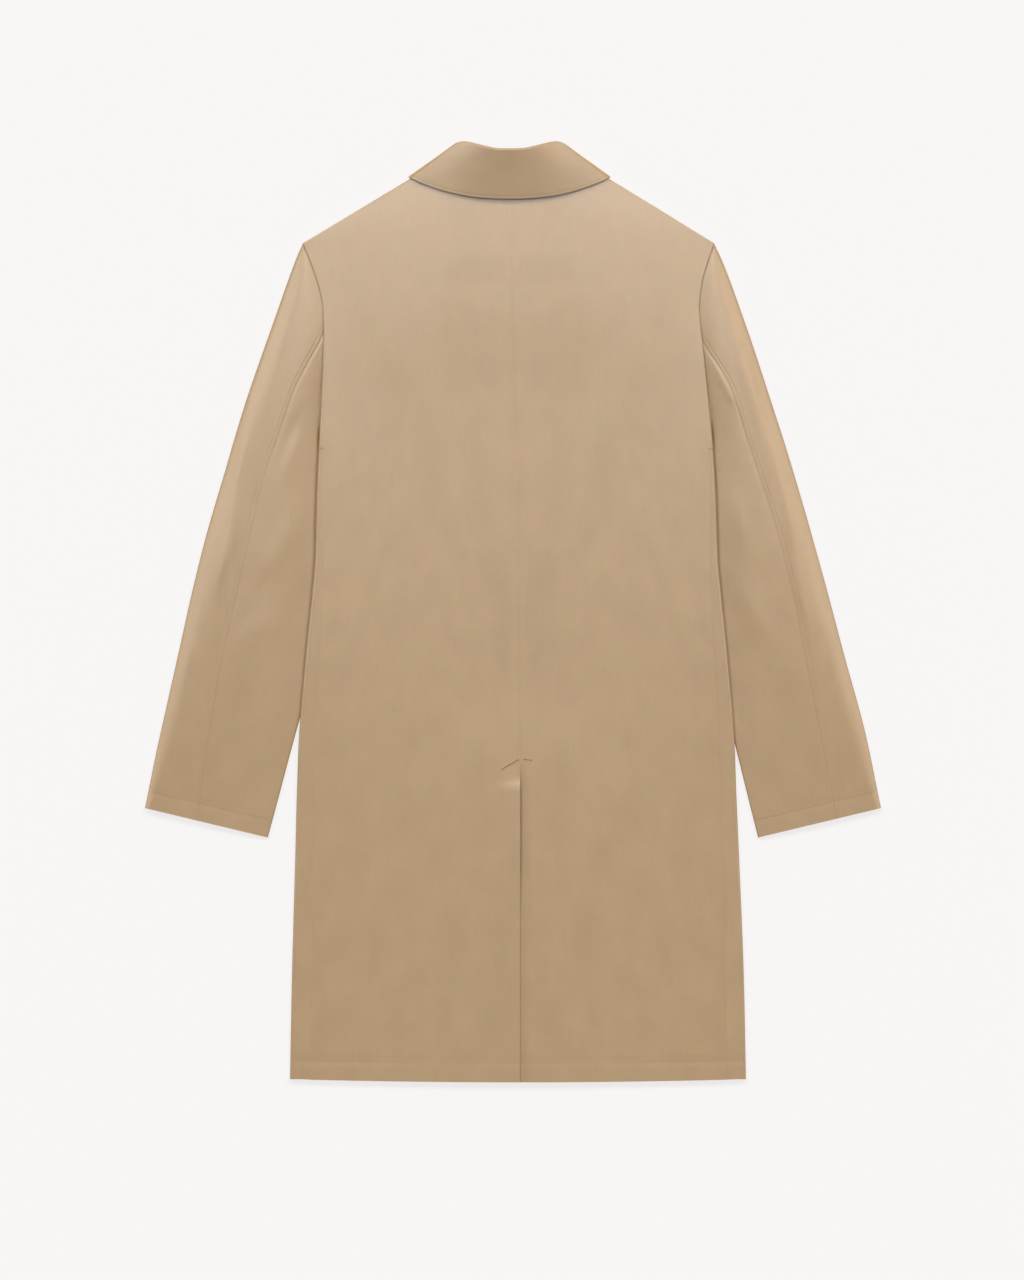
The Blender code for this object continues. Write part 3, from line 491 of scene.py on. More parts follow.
def grain(points, column):
    """Flat coordinates of a panel, in metres: lengths along its rows from one column, and along it."""
    across = np.linalg.norm(np.diff(points, axis=1), axis=-1)
    across = np.concatenate([np.zeros((len(points), 1)), np.cumsum(across, axis=1)], axis=1)
    along = np.linalg.norm(np.diff(points[:, column], axis=0), axis=-1)
    along = np.concatenate([[0], np.cumsum(along)])[:, None]
    return np.stack(np.broadcast_arrays(across - across[:, column:column + 1], along), axis=-1) * MM


def new_object(name, data):
    item = bpy.data.objects.new(name, data)
    bpy.context.scene.collection.objects.link(item)
    return item


def new_piece(name, points, faces, material):
    """A smooth piece from points in millimetres, which rides on the coat's body."""
    mesh = bpy.data.meshes.new(name)
    mesh.from_pydata((points * MM).tolist(), [], faces.tolist())
    mesh.shade_smooth()
    mesh.materials.append(bpy.data.materials[material])
    piece = new_object(name, mesh)
    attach(piece, BODY_NAME)
    return piece


def sharpen_rim(mesh):
    """Marks the edges of a single face as sharp, so that the cut edge doesn't round the shading."""
    edges = np.empty(len(mesh.loops), np.int32)
    mesh.loops.foreach_get("edge_index", edges)
    alone = np.bincount(edges, minlength=len(mesh.edges)) == 1
    mesh.attributes.new("sharp_edge", "BOOLEAN", "EDGE").data.foreach_set("value", alone)


def cloth(node, points, straight, keep=None, flip=False, weld=False):
    """A panel for one node: a grid of outer points, thickened inwards. keep masks the grid's cells.

    straight is the column that the cloth's grain runs along.
    """
    rows, columns = points.shape[:2]
    index = np.arange(rows * columns).reshape(rows, columns)
    corners = [index[:-1, :-1], index[:-1, 1:], index[1:, 1:], index[1:, :-1]]
    quads = np.stack(corners[::-1] if flip else corners, axis=-1)
    quads = quads[np.ones(quads.shape[:2], bool) if keep is None else keep]
    used, faces = np.unique(quads, return_inverse=True)
    piece = new_piece(f"{node}_cloth", points.reshape(-1, 3)[used], faces.reshape(-1, 4), CLOTH_NAME)
    flat = grain(points, straight).reshape(-1, 2)
    piece.data.uv_layers.new(name=GRAIN_MAP).data.foreach_set("uv", flat[quads.reshape(-1)].ravel())
    sharpen_rim(piece.data)
    if weld:
        piece.modifiers.new("closed fold", "WELD").merge_threshold = WELD_DISTANCE
    wall = piece.modifiers.new("cloth wall", "SOLIDIFY")
    settings = bpy.context.scene.coat_cloth
    wall.thickness = settings.collar if node.startswith("collar") else settings.shell
    wall.offset = -1.0
    wall.use_quality_normals = True
    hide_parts(node)


def shoulder_line(across):
    """Height along the coat of the shoulder seam, between the neck point and the tip."""
    fraction = (across - NECK_POINT[0]) / (SHOULDER_TIP[0] - NECK_POINT[0])
    return mix(NECK_POINT[1], SHOULDER_TIP[1], fraction)


def top_edge(across, neck_centre, curve):
    """An upper edge: a power curve from the neck's centre to the neck point, then the shoulder."""
    part = np.clip(across / NECK_POINT[0], 0, 1)
    neck = mix(neck_centre, NECK_POINT[1], part ** curve)
    return np.where(across > NECK_POINT[0], shoulder_line(across), neck)


def back_top(across):
    return top_edge(across, BACK_NECK, BACK_NECK_CURVE)


def front_top(across):
    return top_edge(across, FRONT_NECK, FRONT_NECK_CURVE)


def hem_line(across):
    return mix(HEM_CENTRE, HEM_SIDE, np.clip(np.abs(across) / BODY[0, 1], 0, 1) ** 2)


def back_height(across, along):
    """Outer height of the back: level from crown to flank, falling off to the shoulder seams.

    The centre rises a little below the vent's top, where the vent's plies lie on the front lap.
    """
    half = body("half", along)
    level = mix(body("crown", along), body("flank", along), np.clip(across / half, 0, 1) ** BACK_FLATNESS)
    vented = 1 - ease(VENT_TOP, VENT_TOP + 2 * VENT_EASE, along)
    level = level + VENT_RISE * vented * (1 - ease(VENT_RISE_FROM, VENT_RISE_TO, across))
    reach = np.subtract(SHOULDER_TIP, NECK_POINT)
    normal = np.array([-reach[1], reach[0]]) / np.hypot(*reach)
    inside = -((across - NECK_POINT[0]) * normal[0] + (along - NECK_POINT[1]) * normal[1])
    fraction = np.clip((across - NECK_POINT[0]) / reach[0], 0, 1)
    seam = mix(SHOULDER_EDGE_NECK, SHOULDER_EDGE_TIP, fraction)
    return seam + (level - seam) * rounded(inside / SHOULDER_ROUND)


def vent_gape(along):
    """How far the vent gapes: 0 above its top, 1 in its upper part, and less down to the hem."""
    opened = 1 - ease(VENT_TOP - VENT_OPENS, VENT_TOP, along)
    return opened * mix(VENT_FLAT, 1.0, ease(*VENT_LOW, along))


def back_surface(side, across, along):
    """The dressed back's height: the plain height, creases, centre seam, vent edge and hem groove.

    Along the vent the left edge curls up as a bell, and the right one goes down by a ply and a dip.
    """
    height = back_height(across, along) + creases(BACK_CREASES, side, across, along)
    height = height - ease(VENT_TOP - VENT_SEWN, VENT_TOP + VENT_SEWN, along) * valley(across)
    gape = vent_gape(along)
    if side == LEFT:
        curl = np.maximum(gape - VENT_FLAT, 0) / (1 - VENT_FLAT) * form("vent_curl")
        height = height + curl * bell(across, VENT_EASE / 2)
    else:
        height = height - PLY * gape * (1 - ease(0, VENT_SLOPE, across))
        height = height - VENT_DIP * gape * bell(across, VENT_SLOPE / 3)
    return height - groove(along - hem_line(across) - sewing("hem"))


def front_height(across, along):
    """Height of the front's underside: flat, but raised over the sleeves and the collar points."""
    half = body("half", along)
    middle = COLLAR_LIFT * ease(COLLAR_LIFT_FROM, COLLAR_LIFT_TO, along)
    return mix(middle, body("lift", along), ease(half - SLEEVE_TUCK_FROM, half - SLEEVE_TUCK_TO, across))


def armhole_part(along):
    return np.clip((along - UNDERARM) / (SHOULDER_TIP[1] - UNDERARM), 0, 1)


def front_scoop(along):
    """How much deeper the front armhole is cut than the back one, from nothing at the underarm."""
    end = ARMHOLE_SCOOP_END * ease(UNDERARM, LAP_OPENS[1], along)
    return mix(end, ARMHOLE_SCOOP, np.sin(np.pi * armhole_part(along)) ** 2)


def body_rows():
    """Rows from hem to shoulder, as shares, and which of them are the vent's and the side seam's top.

    The rows have stops at the vent, at both ends of the side seam's top and at the armhole.
    """
    length = SHOULDER_TIP[1] - HEM_SIDE
    vent = (VENT_TOP - HEM_CENTRE) / (BACK_NECK - HEM_CENTRE)
    stops = (np.array([SIDE_SEAM_TOP, SIDE_SEAM_END, ARMHOLE_START]) - HEM_SIDE) / length
    marks = (0, vent, *stops, 1)
    parts = [mix(first, last, even_shares((last - first) * length, ROW_STEP))
             for first, last in zip(marks[:-1], marks[1:])]
    return joined(parts)[:, None], len(parts[0]) - 1, len(parts[0]) + len(parts[1]) - 2


def build_back(side):
    """One half of the back. The right one carries the vent's underlap, below the left one.

    A row runs at a share of the way from the hem to the neck and shoulder line, and a column at a
    share of the way from the centre seam to the side seam or armhole.
    """
    rows, vent_row, seam_row = body_rows()
    columns = even_shares(SHOULDER_TIP[0], COLUMN_STEP)
    edge_along = mix(HEM_SIDE, SHOULDER_TIP[1], rows)
    tuck = body("wrap", edge_along) + SIDE_SEAM_GAP
    below = np.arange(len(rows))[:, None] <= seam_row
    half = body("half", edge_along)
    across = columns * half - np.where(below, tuck, 0) * columns ** SEAM_SHIFT
    along = mix(hem_line(across[:1]), back_top(columns * SHOULDER_TIP[0]), rows)
    height = back_surface(side, across, along)
    turned = (1 - rounded((half - across) / ARMHOLE_ROUND)) * (1 - ease(*ARMHOLE_FLAT, edge_along))
    height = height - np.where(below, 0, ARMHOLE_TURN * turned)
    keep = None
    straight = 0
    if side == RIGHT:
        lap = runs((-VENT_LAP, -LAP_DIP, LAP_COLUMNS), (-LAP_DIP, 0, LAP_COLUMNS))[:-1]
        lap_along = along[:, :1] + np.zeros_like(lap)
        lap_height = height[:, :1] - PLY * (1 - vent_gape(lap_along)) * ease(0, LAP_DIP, -lap)
        across = np.hstack([np.broadcast_to(lap, lap_along.shape), across])
        along = np.hstack([lap_along, along])
        height = np.hstack([lap_height, height])
        keep = np.ones((len(rows) - 1, across.shape[1] - 1), bool)
        keep[vent_row:, :len(lap)] = False
        straight = len(lap)
    points = place(side, across + SEAM_GAP / 2, along, height)
    cloth(f"back_{SIDE_WORDS[side]}", points, straight, keep=keep, flip=side == LEFT)


def build_front(side):
    """One front: its flat underside, the fold at the side, and the strip that comes onto the back.

    The fold is a half circle between the two heights, and the strip follows the back's height.
    """
    rows, _, seam_row = body_rows()
    lap_columns, neck_columns = int(FRONT_LAP / COLUMN_STEP) + 1, int(NECK_POINT[0] / COLUMN_STEP)
    shoulder_columns = int((SHOULDER_TIP[0] - NECK_POINT[0]) / COLUMN_STEP)
    top = runs((-FRONT_LAP, 0, lap_columns), (0, NECK_POINT[0], neck_columns),
               (NECK_POINT[0], SHOULDER_TIP[0], shoulder_columns))
    columns = (top + FRONT_LAP) / (SHOULDER_TIP[0] + FRONT_LAP)
    edge_along = mix(HEM_SIDE, SHOULDER_TIP[1], rows)
    half = body("half", edge_along)
    wrapped = np.arange(len(rows))[:, None] <= seam_row
    fold = (back_height(half, edge_along) - front_height(half, edge_along)) / 2
    inset = np.where(wrapped, fold, front_scoop(edge_along))
    across = mix(-FRONT_LAP, half, columns) - inset * columns ** SEAM_SHIFT
    along = mix(hem_line(across[:1]), front_top(top), rows)
    height = front_height(across, along)
    if side == RIGHT:
        height = height + FRONT_LAP_RISE * (1 - ease(*FRONT_LAP_EASE, across))
    turn = np.linspace(-np.pi / 2, np.pi / 2, FOLD_STEPS + 1)[1:]
    fold_across = half - fold * (1 - np.cos(turn))
    fold_height = front_height(half, edge_along) + fold * (1 + np.sin(turn))
    strip = even_shares(STRIP_LENGTH, COLUMN_STEP)[1:]
    strip_across = mix(half - fold, half - body("wrap", edge_along), strip)
    strip_height = back_surface(side, strip_across, edge_along)
    strip_height = strip_height - valley(strip_across - half + body("wrap", edge_along))
    across = np.hstack([across, fold_across, strip_across])
    along = np.hstack([along, np.repeat(edge_along, len(turn) + len(strip), axis=1)])
    height = np.hstack([height, fold_height, strip_height])
    keep = np.ones((len(rows) - 1, across.shape[1] - 1), bool)
    keep[seam_row:, len(columns) - 1:] = False
    cloth(f"front_{SIDE_WORDS[side]}", place(side, across, along, height), 0, keep=keep, flip=side == RIGHT)


class SleeveCurves:
    """The lines that bound one sleeve's panels, each from the cuff (0) to the armhole (1)."""

    def __init__(self, side):
        self.side = side
        self.seam_column = "seam_left" if side == LEFT else "seam_right"
        self.seam_at_cuff = SEAM_AT_CUFF[self.seam_column]

    def shift(self, along):
        """From the sleeves' own centre line to the body's."""
        return self.side * (sleeve("lean", along) - body("lean", along))

    def cuff(self, part):
        """A point of the cuff's edge, from the outer fold (0) to the inner one (1)."""
        point = mix(np.array(CUFF_OUTER), np.array(CUFF_INNER), np.asarray(part)[..., None])
        return point + np.stack([self.shift(point[..., 1]), 0 * point[..., 1]], axis=-1)

    def outer_across(self, along):
        part = (along - CUFF_OUTER[1]) / (SHOULDER_TIP[1] - CUFF_OUTER[1])
        return sleeve("outer", along) + self.shift(along) * (1 - np.clip(part, 0, 1) ** OUTER_SHIFT)

    def inner_across(self, along):
        part = (along - CUFF_INNER[1]) / (UNDERARM - CUFF_INNER[1])
        return sleeve("inner", along) + self.shift(along) * (1 - np.clip(part, 0, 1))

    def outer(self, part):
        along = mix(CUFF_OUTER[1], SHOULDER_TIP[1], part)
        return plan(self.outer_across(along), along)

    def seam_across(self, along):
        return sleeve(self.seam_column, along) + self.shift(along)

    def back_seam(self, part):
        """The table's line, with its ends drawn onto the cuff and the armhole."""
        start = self.cuff(self.seam_at_cuff)
        end = self.back_edge(SEAM_TOP)
        along = mix(start[1], end[1], part)
        across = self.seam_across(along)
        across = across + (start[0] - self.seam_across(start[1])) * (1 - part) ** SEAM_DRAW
        across = across + (end[0] - self.seam_across(end[1])) * part ** SEAM_DRAW
        return plan(across, along)

    def front_seam(self, part):
        start = self.cuff(1 - FRONT_SEAM_AT_CUFF)
        end = self.front_edge(FRONT_SEAM_TOP)
        return bend(start, FRONT_SEAM_BEND, end, part)

    def back_edge(self, along):
        """The edge of the upper ply, a little way in under the back's armhole."""
        along = np.asarray(along, float)
        sewn = ease(*LAP_OPENS, along) * (1 - ease(*LAP_CLOSES, along))
        across = body("half", along) - mix(LAP_END, LAP, sewn) + self.tip_shift(along)
        return plan(across, along)

    def front_edge(self, along):
        """The edge of the lower ply, a little way in under the front's armhole."""
        along = np.asarray(along, float)
        sewn = ease(UNDERARM, LAP_OPENS[1], along) * (1 - ease(*LAP_CLOSES, along))
        tuck = mix(LAP_END, LAP + front_scoop(along), sewn)
        return plan(body("half", along) - tuck + self.tip_shift(along), along)

    def tip_shift(self, along):
        """Out to the outer fold at the shoulder's tip."""
        return (SLEEVE[-1, 1] - SHOULDER_TIP[0] + LAP_END) * ease(*LAP_CLOSES, along)

    def free_side(self, edge, along):
        """The under sleeve's free side: the inner fold, which runs on into an edge of the armhole."""
        step = self.inner_across(UNDERARM) - edge(UNDERARM)[..., 0]
        above = edge(along)[..., 0] + step * (1 - ease(UNDERARM, LAP_OPENS[1], along))
        return plan(np.where(along > UNDERARM, above, self.inner_across(along)), along)

    def top_height(self, points):
        """Height of the upper ply: full along the outer side, and steeper and steeper down to the body.

        The way down is a power of the share of the distance from the ridge to the body's edge.
        Inside the armhole the ply rises again, to where it is sewn under the back's edge.
        """
        across, along = points[..., 0], points[..., 1]
        half = body("half", along)
        edge = np.where(along > UNDERARM, half, np.maximum(half, self.inner_across(along)))
        outer = self.outer_across(along)
        reach = np.maximum(outer - edge, RIDGE_REACH)
        ridge_at = np.minimum(RIDGE_WIDTH, RIDGE_SHARE * reach)
        part = np.clip((outer - across - ridge_at) / (reach - ridge_at), 0, 1)
        sewn = back_height(half, along) - SEWN_DEPTH
        tucked = mix(SLEEVE_TUCK, sewn, ease(UNDERARM, TUCK_END, along))
        height = mix(np.maximum(sleeve("ridge", along), tucked), tucked, part ** RIDGE_POWER)
        inside = ease(0, LAP, half - across) * ease(UNDERARM, LAP_OPENS[1], along)
        return mix(height, np.maximum(height, sewn), inside)

    def from_cuff(self, points):
        """Distance of a point from the cuff's edge."""
        reach = np.subtract(CUFF_INNER, CUFF_OUTER)
        square = np.array([-reach[1], reach[0]]) / np.hypot(*reach)
        start = self.cuff(0.0)
        return np.abs((points[..., 0] - start[0]) * square[0] + (points[..., 1] - start[1]) * square[1])

    def surface(self, points):
        """The dressed upper ply's height: the plain height, creases and the cuff stitch's groove."""
        folds = creases(SLEEVE_CREASES[self.side], self.side, points[..., 0], points[..., 1])
        return self.top_height(points) + folds - groove(self.from_cuff(points) - sewing("cuff"))


def patch(first, last, cuff, cap, across, rows):
    """A surface between four lines: two sides from cuff to armhole, the cuff and the cap.

    Each point is the blend of the two sides plus the blend of the two ends, less the blend of
    the four corners.
    """
    p, v = across[..., None], rows[..., None]
    corner = [line(np.float64(end)) for line in (first, last) for end in (0.0, 1.0)]
    sides = mix(first(rows), last(rows), p)
    ends = mix(cuff(across), cap(across), v)
    corners = mix(mix(corner[0], corner[1], v), mix(corner[2], corner[3], v), p)
    return sides + ends - corners


def fold_shares(first, last, fold_size, count):
    """Shares across a panel: a round at the fold, and steps that close up to half the seam's gap."""
    width = np.linalg.norm(last - first, axis=-1)
    share = np.clip(fold_size / width, 0, FOLD_LIMIT)
    round_steps = 1 - np.cos(np.linspace(0, np.pi / 2, FOLD_COLUMNS))
    crowded = 1 - (1 - np.linspace(0, 1, count + 1)[1:]) ** SEAM_CROWDING
    return np.hstack([share * round_steps, mix(share, 1 - SEAM_GAP / 2 / width, crowded)]), width


def sleeve_rows():
    """Rows from cuff to armhole, with a stop at the underarm, and that stop's place."""
    length = SEAM_TOP - CUFF_INNER[1]
    underarm = (UNDERARM - CUFF_INNER[1]) / length
    below = even_shares(underarm * length, SLEEVE_STEP) * underarm
    above = mix(underarm, 1, even_shares((1 - underarm) * length, SLEEVE_STEP))
    return joined([below, above])[:, None], underarm


def upper_top(curves):
    """The upper sleeve's top ply, from the outer fold to the back seam, with its shares and widths."""
    rows, _ = sleeve_rows()
    outer = curves.outer(rows)
    ridge = sleeve("ridge", outer[..., 1])
    middle = np.minimum(OUTER_FOLD, ridge / 2)
    size = np.clip((ridge - middle) ** 2 / FOLD_TIGHTNESS, OUTER_FOLD, RIDGE_WIDTH)
    shares, width = fold_shares(outer, curves.back_seam(rows), size, UPPER_COLUMNS)
    points = patch(curves.outer, curves.back_seam,
                   lambda part: curves.cuff(part * curves.seam_at_cuff),
                   lambda part: curves.back_edge(mix(SHOULDER_TIP[1], SEAM_TOP, part)),
                   shares, rows)
    height = mix(middle, curves.surface(points), rounded(shares * width / size))
    return np.dstack([points, height - valley((1 - shares) * width)]), shares, width


def build_upper_sleeve(side):
    """The sleeve's larger panel: from the back seam round the outer fold to the front seam."""
    curves = SleeveCurves(side)
    rows, _ = sleeve_rows()
    outer = curves.outer(rows)
    middle = np.minimum(OUTER_FOLD, sleeve("ridge", outer[..., 1]) / 2)
    top, _, _ = upper_top(curves)
    shares, width = fold_shares(outer, curves.front_seam(rows), middle, UPPER_COLUMNS)
    points = patch(curves.outer, curves.front_seam,
                   lambda part: curves.cuff(part * (1 - FRONT_SEAM_AT_CUFF)),
                   lambda part: curves.front_edge(mix(SHOULDER_TIP[1], FRONT_SEAM_TOP, part)),
                   shares, rows)
    under = np.dstack([points, middle * (1 - rounded(shares * width / middle))])
    grid = np.concatenate([under[:, ::-1], top[:, 1:]], axis=1)
    name = f"sleeve_{SIDE_WORDS[side]}_upper"
    cloth(name, place_grid(side, grid), under.shape[1] - 1, flip=side == RIGHT)


def under_plan(curves, edge, seam):
    """A ply of the under sleeve in plan, from its free side to a seam, and how far it has turned up.

    edge is the armhole's edge that the free side runs into.
    Gives the points, their shares across, the widths, and 0 at the inner fold to 1 on the flat.
    """
    rows, underarm = sleeve_rows()
    above = np.clip((rows - underarm) / (1 - underarm), 0, 1)
    below = mix(CUFF_INNER[1], UNDERARM, np.clip(rows / underarm, 0, 1))
    first = curves.free_side(edge, np.where(rows > underarm, mix(UNDERARM, seam[-1, 0, 1], above), below))
    shares, width = fold_shares(first, seam, np.full_like(rows, INNER_FOLD), UNDER_COLUMNS)
    turn = np.where(rows <= underarm, rounded(shares * width / INNER_FOLD), 1.0)
    return mix(first, seam, shares[..., None]), shares, width, turn


def under_top(curves):
    """The under sleeve's top ply, from the inner fold to the back seam, with its shares and widths."""
    rows, _ = sleeve_rows()
    points, shares, width, turn = under_plan(curves, curves.back_edge, curves.back_seam(rows * UNDER_TOP))
    from_seam = (1 - shares) * width
    height = mix(INNER_FOLD, curves.surface(points), turn)
    height = height - groove(from_seam - sewing("seam")) - valley(from_seam)
    return np.dstack([points, height]), shares, width


def build_under_sleeve(side):
    """The narrower panel: from the back seam round the inner fold to the front seam.

    Above the underarm its two plies part, and each ends at its own side of the armhole.
    """
    curves = SleeveCurves(side)
    rows, _ = sleeve_rows()
    top, _, _ = under_top(curves)
    last = curves.front_seam(rows * FRONT_UNDER_TOP)
    points, _, _, turn = under_plan(curves, curves.front_edge, last)
    under = np.dstack([points, INNER_FOLD * (1 - turn)])
    grid = np.concatenate([under[:, ::-1], top], axis=1)
    keep = np.ones((grid.shape[0] - 1, grid.shape[1] - 1), bool)
    keep[:, under.shape[1] - 1] = False
    cloth(f"sleeve_{SIDE_WORDS[side]}_under", place_grid(side, grid), under.shape[1], keep=keep,
          flip=side == LEFT, weld=True)


def across_line(low, high):
    """The unit vector square to a line in plan, pointing away from the coat."""
    line = np.subtract(high, low)
    outward = np.array([line[1], -line[0]]) / np.hypot(*line)
    return outward * np.sign(outward[1])


def fold_turn(bottom, top):
    """The turn of a side fold, a half ellipse from the top ply round to the bottom one.

    Gives, station by station, how far it has come out (0 at the plies and 1 at the fold), its
    heights between one or more bottoms and tops, and the cosine and sine of its angle.
    """
    angle = np.linspace(np.pi / 2, -np.pi / 2, FOLD_STEPS + 1)[1:-1, None]
    height = (top + bottom) / 2 + (top - bottom) / 2 * np.sin(angle)
    return np.cos(angle)[:, 0], height, np.hstack([np.cos(angle), np.sin(angle)])


def towards(line, share, power, end):
    """Draws the last stations of a line in plan onto the point where the side fold starts."""
    return line + share[:, None] ** power * (end - line[-1])


def fall_stations():
    """Half of the fall, from the centre back round the side fold to its front end.

    Gives the outer edge, the top of the roll and the outward normals, station by station.
    """
    outward = across_line(FALL_CORNER, ROLL_SIDE)
    ahead = np.array([FALL_CORNER[0], FALL_RISE * FALL_CURVE]) / FALL_CORNER[0]
    corner = FALL_CORNER - FALL_FOLD / (ahead @ outward) * ahead
    share = np.linspace(0, 1, COLLAR_BACK_STATIONS)
    across = share * corner[0]
    edge = np.column_stack([across, FALL_CENTRE + FALL_RISE * (across / FALL_CORNER[0]) ** FALL_CURVE])
    edge_height = mix(FALL_EDGE_CENTRE, FALL_EDGE_SIDE, share ** 2)
    edge = np.column_stack([towards(edge, share, EDGE_DRAW, corner), edge_height])
    across = share * ROLL_END[0]
    roll = np.column_stack([across, ROLL_CENTRE + ROLL_RISE * ease(*ROLL_SPAN, across)])
    roll_height = mix(FALL_ROLL_CENTRE, FALL_ROLL_SIDE, share ** 2)
    roll = np.column_stack([towards(roll, share, EDGE_DRAW, ROLL_END), roll_height])
    out, height, angle = fold_turn(0.0, np.array([FALL_EDGE_SIDE, FALL_ROLL_SIDE]))
    edge_turn = np.column_stack([mix(corner, FALL_CORNER, out[:, None]), height[:, 0]])
    roll_turn = np.column_stack([bend(ROLL_END, ROLL_PEAK, ROLL_SIDE, out), height[:, 1]])
    normal = np.column_stack([angle[:, :1] * outward, angle[:, 1]])
    share = np.linspace(0, 1, COLLAR_FRONT_STATIONS)
    front_edge = np.column_stack([bend(corner, FALL_FRONT_BEND, COLLAR_POINT, share), 0 * share])
    front_roll = np.column_stack([bend(ROLL_END, ROLL_FRONT_BEND, ROLL_FRONT, share), 0 * share])
    up = np.tile(UP, (COLLAR_BACK_STATIONS, 1))
    down = np.tile(-UP, (COLLAR_FRONT_STATIONS, 1))
    return (np.vstack([edge, edge_turn, front_edge]), np.vstack([roll, roll_turn, front_roll]),
            np.vstack([up, normal, down]))


def neck_stations():
    """Half of the stand's lower line, just clear of the neck edges, at the fall's stations."""
    inset = STAND_FOLD * across_line(STAND_FOLD_LOW, STAND_FOLD_HIGH)
    fold = STAND_FOLD_LOW - inset
    share = np.linspace(0, 1, COLLAR_BACK_STATIONS)
    across = share * fold[0]
    back_line = towards(np.column_stack([across, back_top(across) + NECK_GAP]), share, EDGE_DRAW, fold)
    back_line = np.column_stack([back_line, mix(STAND_EDGE_CENTRE, STAND_EDGE_SIDE, share ** 2)])
    out, height, _ = fold_turn(STAND_FRONT, STAND_EDGE_SIDE)
    turn = np.column_stack([mix(fold, np.array(STAND_FOLD_LOW), out[:, None]), height])
    share = np.linspace(0, 1, COLLAR_FRONT_STATIONS)
    across = mix(NECK_POINT[0], ROLL_FRONT[0], share)
    slope = 2 * (NECK_POINT[1] - FRONT_NECK) * across / NECK_POINT[0] ** 2
    square = np.column_stack([-slope, np.ones_like(slope)]) / np.hypot(slope, 1)[:, None]
    front_line = np.column_stack([across, front_top(across)]) + NECK_GAP * square
    front_line[0] = fold
    front_line = np.column_stack([front_line, np.full_like(share, STAND_FRONT)])
    return np.vstack([back_line, turn, front_line])


def both_halves(half):
    """A collar piece's whole grid, from the right front end round the back to the left one."""
    return np.concatenate([place_grid(RIGHT, half)[::-1], place_grid(LEFT, half)[1:]])


def fall_surface(rise):
    """Half of the fall's flat part at shares of the way from its edge up to the roll."""
    edge, tip, normal = fall_stations()
    up = (tip - edge) / np.linalg.norm(tip - edge, axis=-1, keepdims=True)
    start = tip - ROLL_RADIUS * up
    share = np.asarray(rise)[None, :, None]
    hollow = FALL_BOW * 4 * share * (1 - share) * np.clip(normal[:, 2], 0, 1)[:, None, None]
    flat = mix(edge[:, None], start[:, None], share) - hollow * normal[:, None]
    return flat, start, up, normal


def build_fall():
    """The fall: from its outer edge up to the roll, over it and a little way down inside.

    The roll is a half circle about the end of the flat part.
    """
    flat, start, up, normal = fall_surface(even_shares(ROLL_CENTRE - FALL_CENTRE, FALL_STEP))
    angle = np.linspace(0, np.pi, ROLL_STEPS + 1)[1:, None]
    turn = np.sin(angle) * up[:, None] - (1 - np.cos(angle)) * normal[:, None]
    over = start[:, None] + ROLL_RADIUS * turn
    cloth("collar_fall", both_halves(np.hstack([flat, over])), 0)


def build_stand():
    """The stand: a band inside the collar, from the neck seam up to the end of the roll."""
    edge, tip, normal = fall_stations()
    up = (tip - edge) / np.linalg.norm(tip - edge, axis=-1, keepdims=True)
    inside = 2 * ROLL_RADIUS - COLLAR_CLOTH
    upper = tip - (ROLL_RADIUS + ROLL_GAP) * up - inside * normal
    rise = np.linspace(0, 1, STAND_ROWS)[None, :, None]
    cloth("collar_stand", both_halves(mix(neck_stations()[:, None], upper[:, None], rise)), 0)


def level_line(points, measure, value):
    """The line on a grid where a measure that grows from row to row reaches a value, column by column."""
    row = np.clip(np.argmax(measure > value, axis=0), 1, len(points) - 1)
    column = np.arange(points.shape[1])
    low, high = measure[row - 1, column], measure[row, column]
    return mix(points[row - 1, column], points[row, column], ((value - low) / (high - low))[:, None])


def capsule():
    """A stitch of unit length and radius: rings of a tapered tube along x, and its quads."""
    along, size = STITCH_RINGS.T[..., None]
    angle = np.linspace(0, 2 * np.pi, STITCH_SIDES, endpoint=False)
    rings = np.broadcast_arrays(along, size * np.cos(angle), size * np.sin(angle))
    rings = np.stack(rings, axis=-1)
    index = np.arange(rings.shape[0] * STITCH_SIDES).reshape(-1, STITCH_SIDES)
    turned = np.roll(index, -1, axis=1)
    quads = np.stack([index[:-1], index[1:], turned[1:], turned[:-1]], axis=-1)
    return rings.reshape(-1, 3), quads.reshape(-1, 4)


def stitches(line, up, pitch, length, thread):
    """Stitches along a line of surface points: each is a capsule whose ends dip into the cloth."""
    reach = np.concatenate([[0], np.cumsum(np.linalg.norm(np.diff(line, axis=0), axis=-1))])
    middle = np.arange(pitch / 2, reach[-1], pitch)
    ends = [np.stack([np.interp(middle + step, reach, axis) for axis in line.T], axis=-1)
            for step in (-length / 2, length / 2)]
    ahead = ends[1] - ends[0]
    ahead = ahead / np.linalg.norm(ahead, axis=-1, keepdims=True)
    up = np.broadcast_to(up, line.shape)
    up = np.stack([np.interp(middle, reach, axis) for axis in up.T], axis=-1)
    aside = np.cross(up, ahead)
    shape, quads = capsule()
    dip = STITCH_DIP * (2 * shape[:, 0]) ** 2
    points = ((ends[0] + ends[1]) / 2)[:, None] + shape[None, :, :1] * length * ahead[:, None]
    points = points + thread * shape[None, :, 1:2] * aside[:, None]
    points = points + (thread * (shape[:, 2] + STITCH_RISE) - dip)[None, :, None] * up[:, None]
    quads = quads[None] + len(shape) * np.arange(len(middle))[:, None, None]
    return points.reshape(-1, 3), quads.reshape(-1, 4)


